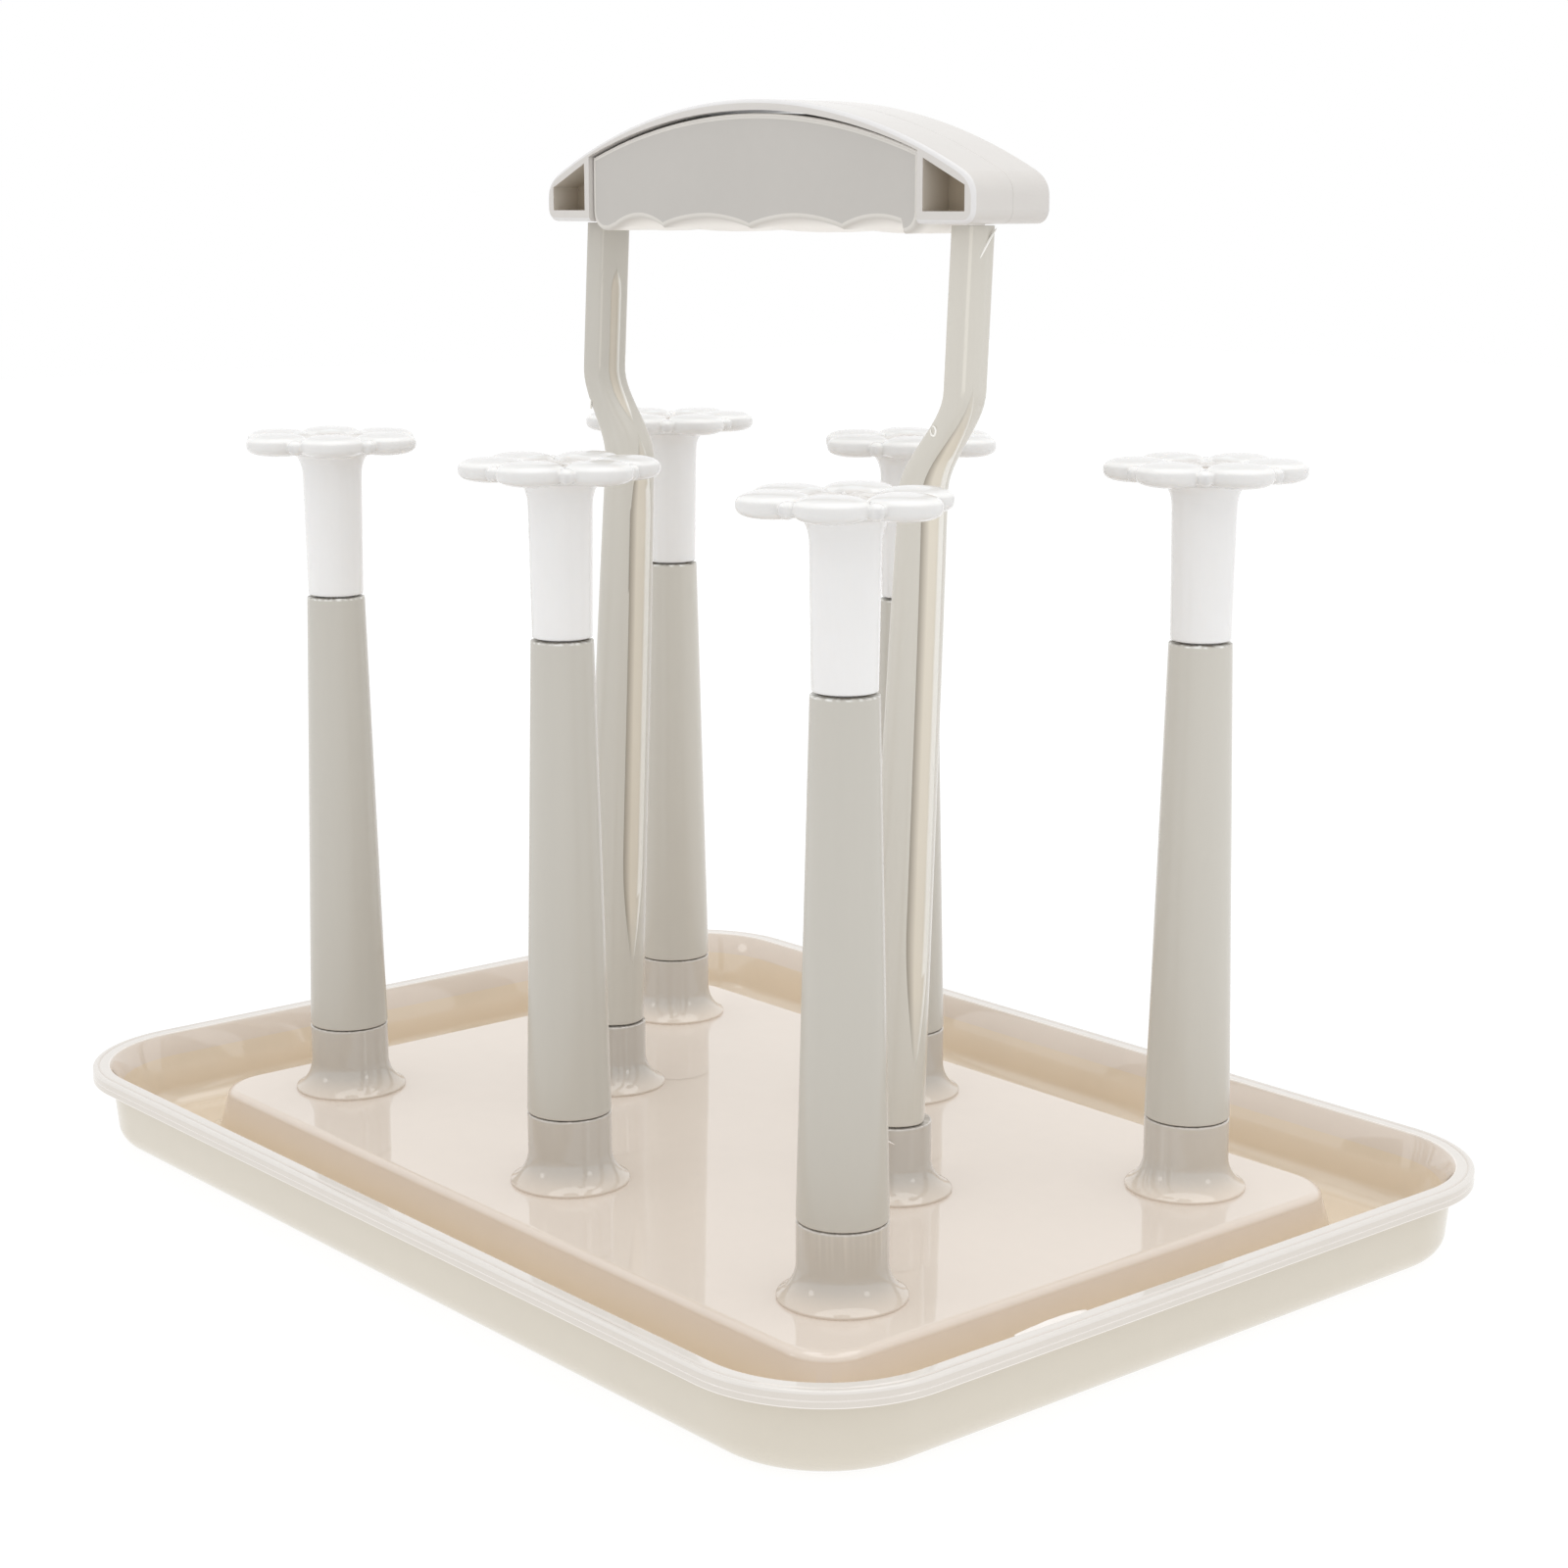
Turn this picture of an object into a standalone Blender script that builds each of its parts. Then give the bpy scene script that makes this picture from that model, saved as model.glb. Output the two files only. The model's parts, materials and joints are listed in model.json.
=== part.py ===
"""Bottle drying rack: drip tray with flared stubs, six pegs with flower caps, lift-off handle.

Metres, +Z up. The origin is the centre of the tray's underside; +X runs along the rows of three pegs.
"""
import math

import bmesh
import bpy

MM = 0.001
GAP = 0.3 * MM                      # clearance between neighbouring pieces
OVERRUN = 2.0 * MM                  # how far tabs and cutters run into or past a face

# tray
TRAY_HALF_X = 141.8 * MM
TRAY_HALF_Y = 103.9 * MM
TRAY_CORNER = 31.0 * MM
RIM_TOP = 19.5 * MM
RIM_WIDTH = 4.1 * MM
LIP_HEIGHT = 3.4 * MM
WALL_INSET = 4.5 * MM               # outer face of the wall, inside the edge of the rim
WALL = 2.2 * MM
WALL_DRAFT = 1.0 * MM               # how far the wall leans in towards the floor
FOOT_ROUND = 5.5 * MM               # outer rounding under the wall
BASIN_ROUND = 5.0 * MM              # inner rounding between the wall and the channel floor
EDGE_ROUND = 0.6 * MM               # softened edge of the rim
LEDGE_WIDTH = 0.5 * MM              # small step just inside the rim
LEDGE_DROP = 0.8 * MM
LEDGE_BLEND = 5.0 * MM              # depth below the rim where the wall reaches its thickness
FLOOR_TOP = 2.4 * MM
PLATEAU_TOP = 12.8 * MM
PLATEAU_INSET = 28.6 * MM
PLATEAU_CORNER = 11.0 * MM
PLATEAU_ROUND = 5.0 * MM
PLATEAU_FOOT = 2.5 * MM             # rounding where the plateau meets the channel floor
PLATEAU_DRAFT = 1.2 * MM
CORNER_STEPS = 6

# pegs and their stubs
PEG_SPACING_X = 90.0 * MM
PEG_ROW_Y = 49.9 * MM
JOINT_Z = 28.7 * MM                 # top of every stub
PEG_TOP = 132.6 * MM
PEG_FOOT_RADIUS = 9.2 * MM
PEG_TOP_RADIUS = 6.7 * MM
PEG_WALL = 2.0 * MM
FLARE_RADIUS = 13.1 * MM
FLARE_HEIGHT = 6.2 * MM
FLARE_EDGE = 0.9 * MM               # standing edge of the flare on the plateau
FLARE_STEPS = 4
FLARE_SWING = math.radians(62.0)    # slope of the flare's curve where it meets its standing edge
SPIGOT_HEIGHT = 9.0 * MM
LEAD_IN = 0.8 * MM                  # chamfer on spigots and plugs
ROUND_STEPS = 24

# flower caps
CAP_NECK_RADIUS = 6.4 * MM
CAP_NECK_TOP_RADIUS = 6.8 * MM
CAP_NECK_FLARE = 2.6 * MM           # how far the neck spreads under the petals
CAP_NECK_FLARE_HEIGHT = 3.4 * MM
CAP_PLUG_DEPTH = 12.0 * MM
FLOWER_UNDER = 165.9 * MM
FLOWER_TOP = 171.1 * MM
FLOWER_TIP_RADIUS = 21.2 * MM
FLOWER_VALLEY_RADIUS = 17.4 * MM
FLOWER_EYE_RADIUS = 3.2 * MM        # sunken middle of the flower
FLOWER_EYE_DEPTH = 2.2 * MM
FLOWER_EDGE = 0.86                  # share of the petal outline where its rounded edge begins
PETALS = 6
PETAL_STEPS = 6                     # outline steps on one petal
FLOWER_TURNS = (29.0, 59.0, 8.0, 41.0, 20.0, 50.0)

# handle posts
POST_X = 50.6 * MM
POST_TOP_X = 61.5 * MM
POST_FOOT_RADIUS = 7.6 * MM
POST_STUB_RADIUS = 8.0 * MM
POST_FLARE_RADIUS = 12.6 * MM
POST_SPIGOT_RADIUS = 4.9 * MM
POST_TOP_WIDTH = 7.0 * MM
POST_TOP_DEPTH = 8.6 * MM
POST_NECK = 10.2 * MM               # width just under the bend
SQUARING = 0.35                     # how far the round section has turned square at the bend
BEND_LOW = 164.0 * MM
BEND_HIGH = 185.0 * MM
TAB_WIDTH = 4.4 * MM
TAB_DEPTH = 4.0 * MM
TAB_HEIGHT = 7.4 * MM
SOCKET_SPARE = 1.5 * MM             # free height above a spigot
CHANNEL_WIDTH = 3.6 * MM
CHANNEL_DEPTH = 1.9 * MM
CHANNEL_START = 45.0 * MM
HANDLE_RAKE = math.tan(math.radians(3.0))    # lean of the posts towards +Y, as run over rise

# grip
GRIP_BOTTOM = 218.7 * MM
GRIP_HALF = 71.8 * MM
GRIP_DEPTH = 22.0 * MM
GRIP_END_TOP = 227.6 * MM
GRIP_PEAK = 244.7 * MM
CORE_HALF = 55.0 * MM
CORE_BOTTOM = 216.7 * MM
CORE_END_TOP = 233.0 * MM
CORE_PEAK = 241.8 * MM
CORE_DEPTH = 21.2 * MM
CORE_CORNER = 4.5 * MM
FINGER_PITCH = 29.5 * MM
FINGER_RISE = 1.8 * MM
FINGER_FADE = 5.0 * MM              # stretch over which the finger grooves die out at the ends
COVER_CORNER = 3.0 * MM
COVER_BEVEL = 1.2 * MM
WINDOW_INNER = 57.0 * MM
WINDOW_OUTER = 69.2 * MM
WINDOW_FLOOR = 221.2 * MM
WINDOW_INNER_TOP = 231.8 * MM
WINDOW_OUTER_TOP = 226.4 * MM
WINDOW_DEPTH = 7.2 * MM

TRAY_COLOUR = (0.72, 0.64, 0.54, 1.0)
PEG_COLOUR = (0.60, 0.56, 0.50, 1.0)
GRIP_COLOUR = (0.57, 0.54, 0.50, 1.0)
CAP_COLOUR = (0.90, 0.89, 0.87, 1.0)

PEG_PLACES = [(-PEG_SPACING_X, -PEG_ROW_Y), (0.0, -PEG_ROW_Y), (PEG_SPACING_X, -PEG_ROW_Y),
              (PEG_SPACING_X, PEG_ROW_Y), (0.0, PEG_ROW_Y), (-PEG_SPACING_X, PEG_ROW_Y)]


def clear_scene():
    for item in list(bpy.data.objects):
        bpy.data.objects.remove(item, do_unlink=True)


def make_collection(name):
    collection = bpy.data.collections.new(name)
    bpy.context.scene.collection.children.link(collection)
    return collection


def make_material(name, colour, roughness):
    material = bpy.data.materials.new(name)
    material.use_nodes = True
    shader = material.node_tree.nodes["Principled BSDF"]
    shader.inputs["Base Color"].default_value = colour
    shader.inputs["Roughness"].default_value = roughness
    shader.inputs["Metallic"].default_value = 0.0
    return material


def add_object(name, mesh, collection, colour=PEG_COLOUR, roughness=0.35):
    part = bpy.data.objects.new(name, mesh)
    collection.objects.link(part)
    mesh.materials.append(make_material(name + "_plastic", colour, roughness))
    mesh.shade_smooth()
    mesh.set_sharp_from_angle(angle=math.radians(35))
    return part


def hide_cutter(cutter):
    cutter.hide_render = True
    cutter.display_type = "WIRE"


def combine(part, other, operation):
    step = part.modifiers.new(operation.lower() + "_" + other.name, "BOOLEAN")
    step.operation = operation
    step.solver = "EXACT"
    step.object = other


def arc(centre, radius, start, end, steps):
    """Points on an arc in a plane, angles in degrees."""
    angles = [math.radians(start + (end - start) * i / steps) for i in range(steps + 1)]
    return [(centre[0] + radius * math.cos(a), centre[1] + radius * math.sin(a)) for a in angles]


def rounded_ring(half_x, half_y, corner, z):
    """Counter-clockwise rounded rectangle at height z."""
    ring = []
    for sign_x, sign_y, start in ((1, 1, 0), (-1, 1, 90), (-1, -1, 180), (1, -1, 270)):
        centre = (sign_x * (half_x - corner), sign_y * (half_y - corner))
        ring += [(x, y, z) for x, y in arc(centre, corner, start, start + 90, CORNER_STEPS)]
    return ring


def loft(name, rings):
    """Closed mesh through rings of equal point count, with a flat cap on each end.

    The rings run so that the body lies on their inner side from the first to the last.
    """
    shape = bmesh.new()
    layers = [[shape.verts.new(point) for point in ring] for ring in rings]
    count = len(layers[0])
    for upper, lower in zip(layers, layers[1:]):
        for i in range(count):
            j = (i + 1) % count
            shape.faces.new((upper[i], lower[i], lower[j], upper[j]))
    shape.faces.new(layers[0])
    shape.faces.new(list(reversed(layers[-1])))
    bmesh.ops.recalc_face_normals(shape, faces=shape.faces)
    mesh = bpy.data.meshes.new(name)
    shape.to_mesh(mesh)
    shape.free()
    return mesh


def slab(name, outline, depth, middle):
    """Outline of (x, z) points made into a plate of the given depth, centred on y = middle."""
    front = [(x, middle - depth / 2, z) for x, z in outline]
    back = [(x, middle + depth / 2, z) for x, z in outline]
    return loft(name, [front, back])


def turned(name, profile, collection, closed, **look):
    """Turn an (r, z) profile about Z; it runs down the outer side from top to bottom."""
    shape = bmesh.new()
    points = [shape.verts.new((r, 0.0, z)) for r, z in profile]
    for first, second in zip(points, points[1:]):
        shape.edges.new((first, second))
    if closed:
        shape.edges.new((points[-1], points[0]))
    mesh = bpy.data.meshes.new(name)
    shape.to_mesh(mesh)
    shape.free()
    part = add_object(name, mesh, collection, **look)
    screw = part.modifiers.new("turn", "SCREW")
    screw.axis = "Z"
    screw.angle = math.tau
    screw.steps = ROUND_STEPS
    screw.render_steps = ROUND_STEPS
    screw.use_merge_vertices = True
    screw.merge_threshold = 0.00001
    return part


def flare_profile(radius, flare, spigot):
    """Stub from its spigot down to a flared foot sunk into the plateau."""
    sunk = PLATEAU_TOP - WALL / 2
    curve = []
    for i in range(FLARE_STEPS + 1):
        angle = FLARE_SWING * i / FLARE_STEPS
        r = radius + (flare - radius) * (1 - math.cos(angle)) / (1 - math.cos(FLARE_SWING))
        z = PLATEAU_TOP + FLARE_EDGE + FLARE_HEIGHT * (1 - math.sin(angle) / math.sin(FLARE_SWING))
        curve.append((r, z))
    top = JOINT_Z + SPIGOT_HEIGHT
    return [(0.0, top), (spigot - LEAD_IN, top), (spigot, top - LEAD_IN), (spigot, JOINT_Z),
            (radius, JOINT_Z)] + curve + [(flare, sunk), (0.0, sunk)]


def tray_sections():
    """(inset, z, corner radius) of the tray's skin, from the plateau out over the rim and back."""
    def outer(inset, z):
        return inset, z, TRAY_CORNER - inset

    def fillet(centre, radius, start, end, steps, corner=None):
        points = arc(centre, radius, start, end, steps)
        return [(inset, z, corner or TRAY_CORNER - inset) for inset, z in points]

    under = PLATEAU_TOP - WALL
    side = PLATEAU_INSET - PLATEAU_DRAFT
    inner_wall = WALL_INSET + WALL
    inner_corner = PLATEAU_CORNER - WALL
    lip = RIM_TOP - LIP_HEIGHT
    path = fillet((PLATEAU_INSET + PLATEAU_ROUND, PLATEAU_TOP - PLATEAU_ROUND), PLATEAU_ROUND,
                  90, 180, 4, PLATEAU_CORNER)
    path += fillet((side - PLATEAU_FOOT, FLOOR_TOP + PLATEAU_FOOT), PLATEAU_FOOT,
                   0, -90, 2, PLATEAU_CORNER)
    path += fillet((inner_wall + WALL_DRAFT + BASIN_ROUND, FLOOR_TOP + BASIN_ROUND), BASIN_ROUND,
                   270, 180, 3)
    path += [outer(inner_wall, RIM_TOP - LEDGE_BLEND),
             outer(RIM_WIDTH + LEDGE_WIDTH, RIM_TOP - LEDGE_DROP),
             outer(RIM_WIDTH, RIM_TOP), outer(EDGE_ROUND, RIM_TOP), outer(0.0, RIM_TOP - EDGE_ROUND),
             outer(0.0, lip), outer(WALL_INSET, lip)]
    path += fillet((WALL_INSET + WALL_DRAFT + FOOT_ROUND, FOOT_ROUND), FOOT_ROUND, 180, 270, 3)
    path += [(side + WALL - PLATEAU_FOOT, 0.0, inner_corner),
             (side + WALL, PLATEAU_FOOT, inner_corner),
             (PLATEAU_INSET + WALL, under - PLATEAU_ROUND + WALL, inner_corner),
             (PLATEAU_INSET + PLATEAU_ROUND, under, inner_corner)]
    return path


def build_tray(parts, helpers):
    rings = [rounded_ring(TRAY_HALF_X - inset, TRAY_HALF_Y - inset, corner, z)
             for inset, z, corner in tray_sections()]
    tray = add_object("tray", loft("tray", rings), parts, TRAY_COLOUR, 0.12)
    spigot = PEG_FOOT_RADIUS - PEG_WALL - GAP
    stubs = [(x, y, PEG_FOOT_RADIUS, FLARE_RADIUS, spigot) for x, y in PEG_PLACES]
    stubs += [(side * POST_X, 0.0, POST_STUB_RADIUS, POST_FLARE_RADIUS, POST_SPIGOT_RADIUS)
              for side in (-1, 1)]
    for number, (x, y, radius, flare, pin) in enumerate(stubs, 1):
        stub = turned(f"stub_{number}", flare_profile(radius, flare, pin), helpers, False)
        stub.location = (x, y, 0.0)
        hide_cutter(stub)
        combine(tray, stub, "UNION")


def build_pegs(parts):
    low = JOINT_Z + GAP
    edge = 0.4 * MM
    profile = [(PEG_TOP_RADIUS - edge, PEG_TOP), (PEG_TOP_RADIUS, PEG_TOP - edge),
               (PEG_FOOT_RADIUS, low), (PEG_FOOT_RADIUS - PEG_WALL, low),
               (PEG_TOP_RADIUS - PEG_WALL, PEG_TOP)]
    for number, (x, y) in enumerate(PEG_PLACES, 1):
        peg = turned(f"peg_{number}", profile, parts, True, colour=PEG_COLOUR, roughness=0.4)
        peg.location = (x, y, 0.0)


def flower_ring(reach, z, lobed):
    """Ring of the flower cap: reach is a share of the petal outline, or a plain radius."""
    count = PETALS * PETAL_STEPS
    ring = []
    for i in range(count):
        angle = math.tau * i / count
        petal = abs(math.cos(PETALS * angle / 2)) ** 0.7
        outline = FLOWER_VALLEY_RADIUS + (FLOWER_TIP_RADIUS - FLOWER_VALLEY_RADIUS) * petal
        radius = reach * outline if lobed else reach
        ring.append((radius * math.cos(angle), radius * math.sin(angle), z))
    return ring


def build_caps(parts):
    seat = PEG_TOP + GAP
    plug = PEG_TOP_RADIUS - PEG_WALL - GAP
    middle = (FLOWER_TOP + FLOWER_UNDER) / 2
    half = (FLOWER_TOP - FLOWER_UNDER) / 2
    rings = [flower_ring(FLOWER_EYE_RADIUS, FLOWER_TOP - FLOWER_EYE_DEPTH, False)]
    for degrees in (90, 45, 0, -45, -90):
        angle = math.radians(degrees)
        reach = FLOWER_EDGE + (1 - FLOWER_EDGE) * math.cos(angle)
        rings.append(flower_ring(reach, middle + half * math.sin(angle), True))
    rings += [flower_ring(CAP_NECK_TOP_RADIUS + CAP_NECK_FLARE, FLOWER_UNDER, False),
              flower_ring(CAP_NECK_TOP_RADIUS, FLOWER_UNDER - CAP_NECK_FLARE_HEIGHT, False),
              flower_ring(CAP_NECK_RADIUS, seat, False),
              flower_ring(plug, seat, False),
              flower_ring(plug, seat - CAP_PLUG_DEPTH + LEAD_IN, False),
              flower_ring(plug - LEAD_IN, seat - CAP_PLUG_DEPTH, False)]
    for number, (x, y) in enumerate(PEG_PLACES, 1):
        name = f"flower_cap_{number}"
        cap = add_object(name, loft(name, rings), parts, CAP_COLOUR, 0.3)
        cap.location = (x, y, 0.0)
        cap.rotation_euler = (0.0, 0.0, math.radians(FLOWER_TURNS[number - 1]))


def smooth_step(value):
    value = min(max(value, 0.0), 1.0)
    return value * value * (3 - 2 * value)


def rake(z):
    """How far the leaning handle has moved towards +Y at height z."""
    return (z - JOINT_Z) * HANDLE_RAKE


def post_size(z):
    """Thickness of a post's straight, tapering part at height z."""
    rise = (z - JOINT_Z) / (BEND_LOW - JOINT_Z)
    return POST_NECK + (2 * POST_FOOT_RADIUS - POST_NECK) * (1 - min(rise, 1.0))


def post_ring(z, side):
    """Section of a post at height z: round at the foot, a rounded bar at the top."""
    size = post_size(z)
    bend = smooth_step((z - BEND_LOW) / (BEND_HIGH - BEND_LOW))
    width = size + (POST_TOP_WIDTH - size) * bend
    depth = size + (POST_TOP_DEPTH - size) * bend
    squareness = 1.0 - SQUARING * smooth_step((z - JOINT_Z) / (BEND_LOW - JOINT_Z))
    centre = POST_X + (POST_TOP_X - POST_X) * bend
    ring = []
    for i in range(ROUND_STEPS):
        angle = math.tau * i / ROUND_STEPS
        across = math.copysign(abs(math.cos(angle)) ** squareness, math.cos(angle))
        along = math.copysign(abs(math.sin(angle)) ** squareness, math.sin(angle))
        ring.append((side * (centre + width / 2 * across), rake(z) + depth / 2 * along, z))
    return ring


def channel_cutter(name, side, face, helpers):
    """Long tapering channel along one face of a post's straight part."""
    tip = 0.15                      # share of the full section left at each pointed end
    rings = []
    steps = 8
    for i in range(steps + 1):
        z = CHANNEL_START + (BEND_LOW - CHANNEL_START) * i / steps
        taper = min(1.0, tip + 2.2 * i / steps, tip + 4.0 * (steps - i) / steps)
        near = rake(z) - CHANNEL_WIDTH / 2 * taper
        far = rake(z) + CHANNEL_WIDTH / 2 * taper
        surface = side * POST_X + face * post_size(z) / 2
        inner = surface - face * CHANNEL_DEPTH * taper
        outer = surface + face * OVERRUN
        rings.append([(inner, near, z), (outer, near, z), (outer, far, z), (inner, far, z)])
    cutter = add_object(name, loft(name, rings), helpers)
    hide_cutter(cutter)
    return cutter


def build_posts(parts, helpers):
    low = JOINT_Z + GAP
    top = GRIP_BOTTOM - GAP
    straight_steps = 4
    bend_steps = 6
    heights = [low + (BEND_LOW - low) * i / straight_steps for i in range(straight_steps)]
    heights += [BEND_LOW + (BEND_HIGH - BEND_LOW) * i / bend_steps for i in range(bend_steps + 1)]
    heights.append(top)
    for side, name in ((-1, "handle_post_left"), (1, "handle_post_right")):
        post = add_object(name, loft(name, [post_ring(z, side) for z in heights]), parts)
        tab = add_object(name + "_tab", loft("tab", [
            [(side * POST_TOP_X + x * TAB_WIDTH / 2, rake(GRIP_BOTTOM) + y * TAB_DEPTH / 2, z)
             for x, y in ((-1, -1), (1, -1), (1, 1), (-1, 1))]
            for z in (top - OVERRUN, top + TAB_HEIGHT)]), helpers)
        hide_cutter(tab)
        combine(post, tab, "UNION")
        bore = POST_SPIGOT_RADIUS + GAP
        depth = JOINT_Z + SPIGOT_HEIGHT + SOCKET_SPARE
        socket = turned(name + "_socket", [(0.0, depth), (bore, depth), (bore, low - OVERRUN),
                                           (0.0, low - OVERRUN)], helpers, False)
        socket.location = (side * POST_X, 0.0, 0.0)
        hide_cutter(socket)
        combine(post, socket, "DIFFERENCE")
        for face in (-1, 1):
            cutter = channel_cutter(f"{name}_channel_{'inner' if face * side < 0 else 'outer'}",
                                    side, face, helpers)
            combine(post, cutter, "DIFFERENCE")


def arch(half, end_z, peak_z, steps):
    """Circular arch from +half over the peak to -half."""
    rise = peak_z - end_z
    radius = (half * half + rise * rise) / (2 * rise)
    reach = math.degrees(math.asin(half / radius))
    return arc((0.0, peak_z - radius), radius, 90 - reach, 90 + reach, steps)


def core_outline(grow):
    """Front outline of the core; grow widens it for the pocket in the cover."""
    half = CORE_HALF + grow
    points = arch(half, CORE_END_TOP + grow, CORE_PEAK + grow, 16)
    if grow:
        below = CORE_BOTTOM - CORE_CORNER
        return points + [(-half, below), (half, below)]
    centre_z = CORE_BOTTOM + CORE_CORNER
    points += arc((-half + CORE_CORNER, centre_z), CORE_CORNER, 180, 270, 4)
    span = 2 * (CORE_HALF - CORE_CORNER)
    steps = 28
    for i in range(1, steps):
        x = -CORE_HALF + CORE_CORNER + span * i / steps
        lift = abs(math.sin(math.pi * x / FINGER_PITCH)) ** 0.8
        ends = smooth_step((CORE_HALF - CORE_CORNER - abs(x)) / FINGER_FADE)
        points.append((x, CORE_BOTTOM + FINGER_RISE * lift * ends))
    points += arc((half - CORE_CORNER, centre_z), CORE_CORNER, 270, 360, 4)
    return points


def build_grip(parts, helpers):
    middle = rake((GRIP_BOTTOM + GRIP_PEAK) / 2)
    core = slab("grip_core", core_outline(0.0), CORE_DEPTH, middle)
    add_object("grip_core", core, parts, GRIP_COLOUR, 0.45)
    outline = arch(GRIP_HALF, GRIP_END_TOP, GRIP_PEAK, 18)
    corner_z = GRIP_BOTTOM + COVER_CORNER
    outline += arc((-GRIP_HALF + COVER_CORNER, corner_z), COVER_CORNER, 180, 270, 3)
    outline += arc((GRIP_HALF - COVER_CORNER, corner_z), COVER_CORNER, 270, 360, 3)
    cover = add_object("grip_cover", slab("grip_cover", outline, GRIP_DEPTH, middle), parts, PEG_COLOUR, 0.3)
    edges = cover.modifiers.new("soft_edges", "BEVEL")
    edges.width = COVER_BEVEL
    edges.segments = 2
    edges.limit_method = "ANGLE"
    pocket = add_object("core_pocket", slab("core_pocket", core_outline(GAP), 2 * GRIP_DEPTH, middle),
                        helpers)
    hide_cutter(pocket)
    combine(cover, pocket, "DIFFERENCE")
    for side in (-1, 1):
        window = [(side * WINDOW_INNER, WINDOW_FLOOR), (side * WINDOW_OUTER, WINDOW_FLOOR),
                  (side * WINDOW_OUTER, WINDOW_OUTER_TOP), (side * WINDOW_INNER, WINDOW_INNER_TOP)]
        for face in (-1, 1):
            name = f"window_{'right' if side > 0 else 'left'}_{'back' if face > 0 else 'front'}"
            outer_face = middle + face * GRIP_DEPTH / 2
            cutter = add_object(name, slab(name, window, 2 * WINDOW_DEPTH, outer_face), helpers)
            hide_cutter(cutter)
            combine(cover, cutter, "DIFFERENCE")
        reach_x = TAB_WIDTH / 2 + GAP
        reach_y = TAB_DEPTH / 2 + GAP
        name = f"tab_slot_{'right' if side > 0 else 'left'}"
        slot = add_object(name, loft(name, [
            [(side * POST_TOP_X + x * reach_x, rake(GRIP_BOTTOM) + y * reach_y, z)
             for x, y in ((-1, -1), (1, -1), (1, 1), (-1, 1))]
            for z in (GRIP_BOTTOM - OVERRUN, GRIP_BOTTOM + TAB_HEIGHT)]), helpers)
        hide_cutter(slot)
        combine(cover, slot, "DIFFERENCE")


def build():
    clear_scene()
    parts = make_collection("bottle_drying_rack")
    helpers = make_collection("cutters")
    build_tray(parts, helpers)
    build_pegs(parts)
    build_caps(parts)
    build_posts(parts, helpers)
    build_grip(parts, helpers)
    bpy.context.view_layer.update()


build()
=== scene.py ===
# Bottle drying rack: the fine surfaces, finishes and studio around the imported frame.
import json
import math

import bmesh
import bpy
from mathutils import Euler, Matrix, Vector, noise

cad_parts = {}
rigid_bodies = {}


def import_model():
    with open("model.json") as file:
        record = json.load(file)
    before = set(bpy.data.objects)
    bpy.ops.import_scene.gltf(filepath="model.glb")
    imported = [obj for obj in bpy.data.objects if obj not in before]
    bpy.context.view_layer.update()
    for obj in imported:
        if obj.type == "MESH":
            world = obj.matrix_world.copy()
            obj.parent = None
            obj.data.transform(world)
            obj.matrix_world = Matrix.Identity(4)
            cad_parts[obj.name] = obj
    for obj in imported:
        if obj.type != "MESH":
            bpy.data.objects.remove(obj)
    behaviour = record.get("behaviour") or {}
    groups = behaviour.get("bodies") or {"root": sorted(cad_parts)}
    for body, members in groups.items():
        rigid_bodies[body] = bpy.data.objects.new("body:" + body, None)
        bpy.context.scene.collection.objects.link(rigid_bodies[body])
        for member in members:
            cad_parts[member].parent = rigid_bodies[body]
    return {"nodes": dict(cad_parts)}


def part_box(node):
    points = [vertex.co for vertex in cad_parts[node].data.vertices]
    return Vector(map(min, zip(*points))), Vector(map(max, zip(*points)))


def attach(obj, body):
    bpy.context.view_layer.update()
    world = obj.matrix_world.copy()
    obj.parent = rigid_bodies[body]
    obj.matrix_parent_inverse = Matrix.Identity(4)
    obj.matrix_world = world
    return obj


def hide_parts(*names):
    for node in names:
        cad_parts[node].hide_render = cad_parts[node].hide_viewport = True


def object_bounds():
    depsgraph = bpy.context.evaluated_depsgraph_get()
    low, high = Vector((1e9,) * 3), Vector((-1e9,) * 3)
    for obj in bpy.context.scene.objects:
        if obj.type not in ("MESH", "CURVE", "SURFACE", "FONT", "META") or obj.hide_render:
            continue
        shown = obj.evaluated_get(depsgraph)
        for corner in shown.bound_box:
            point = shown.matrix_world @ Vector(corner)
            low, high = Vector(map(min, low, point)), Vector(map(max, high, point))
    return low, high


for leftover in list(bpy.data.objects):
    bpy.data.objects.remove(leftover, do_unlink=True)
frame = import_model()
cadLow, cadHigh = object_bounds()

mm = 0.001
quarter = math.pi / 2
gap = 0.3 * mm                      # clearance that the frame keeps between neighbours
pegNumbers = range(1, 7)
print("frame loaded:", len(frame["nodes"]), "nodes")


def middleOf(node):
    low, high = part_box(node)
    return (low + high) / 2


# places read from the frame
pegPlaces = {n: middleOf(f"peg_{n}").xy for n in pegNumbers}
pegLow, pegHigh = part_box("peg_1")
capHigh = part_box("flower_cap_1")[1]
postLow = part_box("handle_post_right")[0]
coverLow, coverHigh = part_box("grip_cover")
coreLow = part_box("grip_core")[0]
trayLow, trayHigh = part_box("tray")
jointHeight = pegLow.z - gap
gripMiddle = middleOf("grip_cover").y
coverHalfDepth = (coverHigh.y - coverLow.y) / 2


def arcPoints(centre, radius, start, end, steps):
    # points on an arc in a plane, angles in degrees
    angles = [math.radians(start + (end - start) * i / steps) for i in range(steps + 1)]
    return [(centre[0] + radius * math.cos(a), centre[1] + radius * math.sin(a)) for a in angles]


def smoothStep(value):
    value = min(max(value, 0.0), 1.0)
    return value * value * (3 - 2 * value)


def blendOf(one, two, share):
    return tuple(a + (b - a) * share for a, b in zip(one, two))


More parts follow.
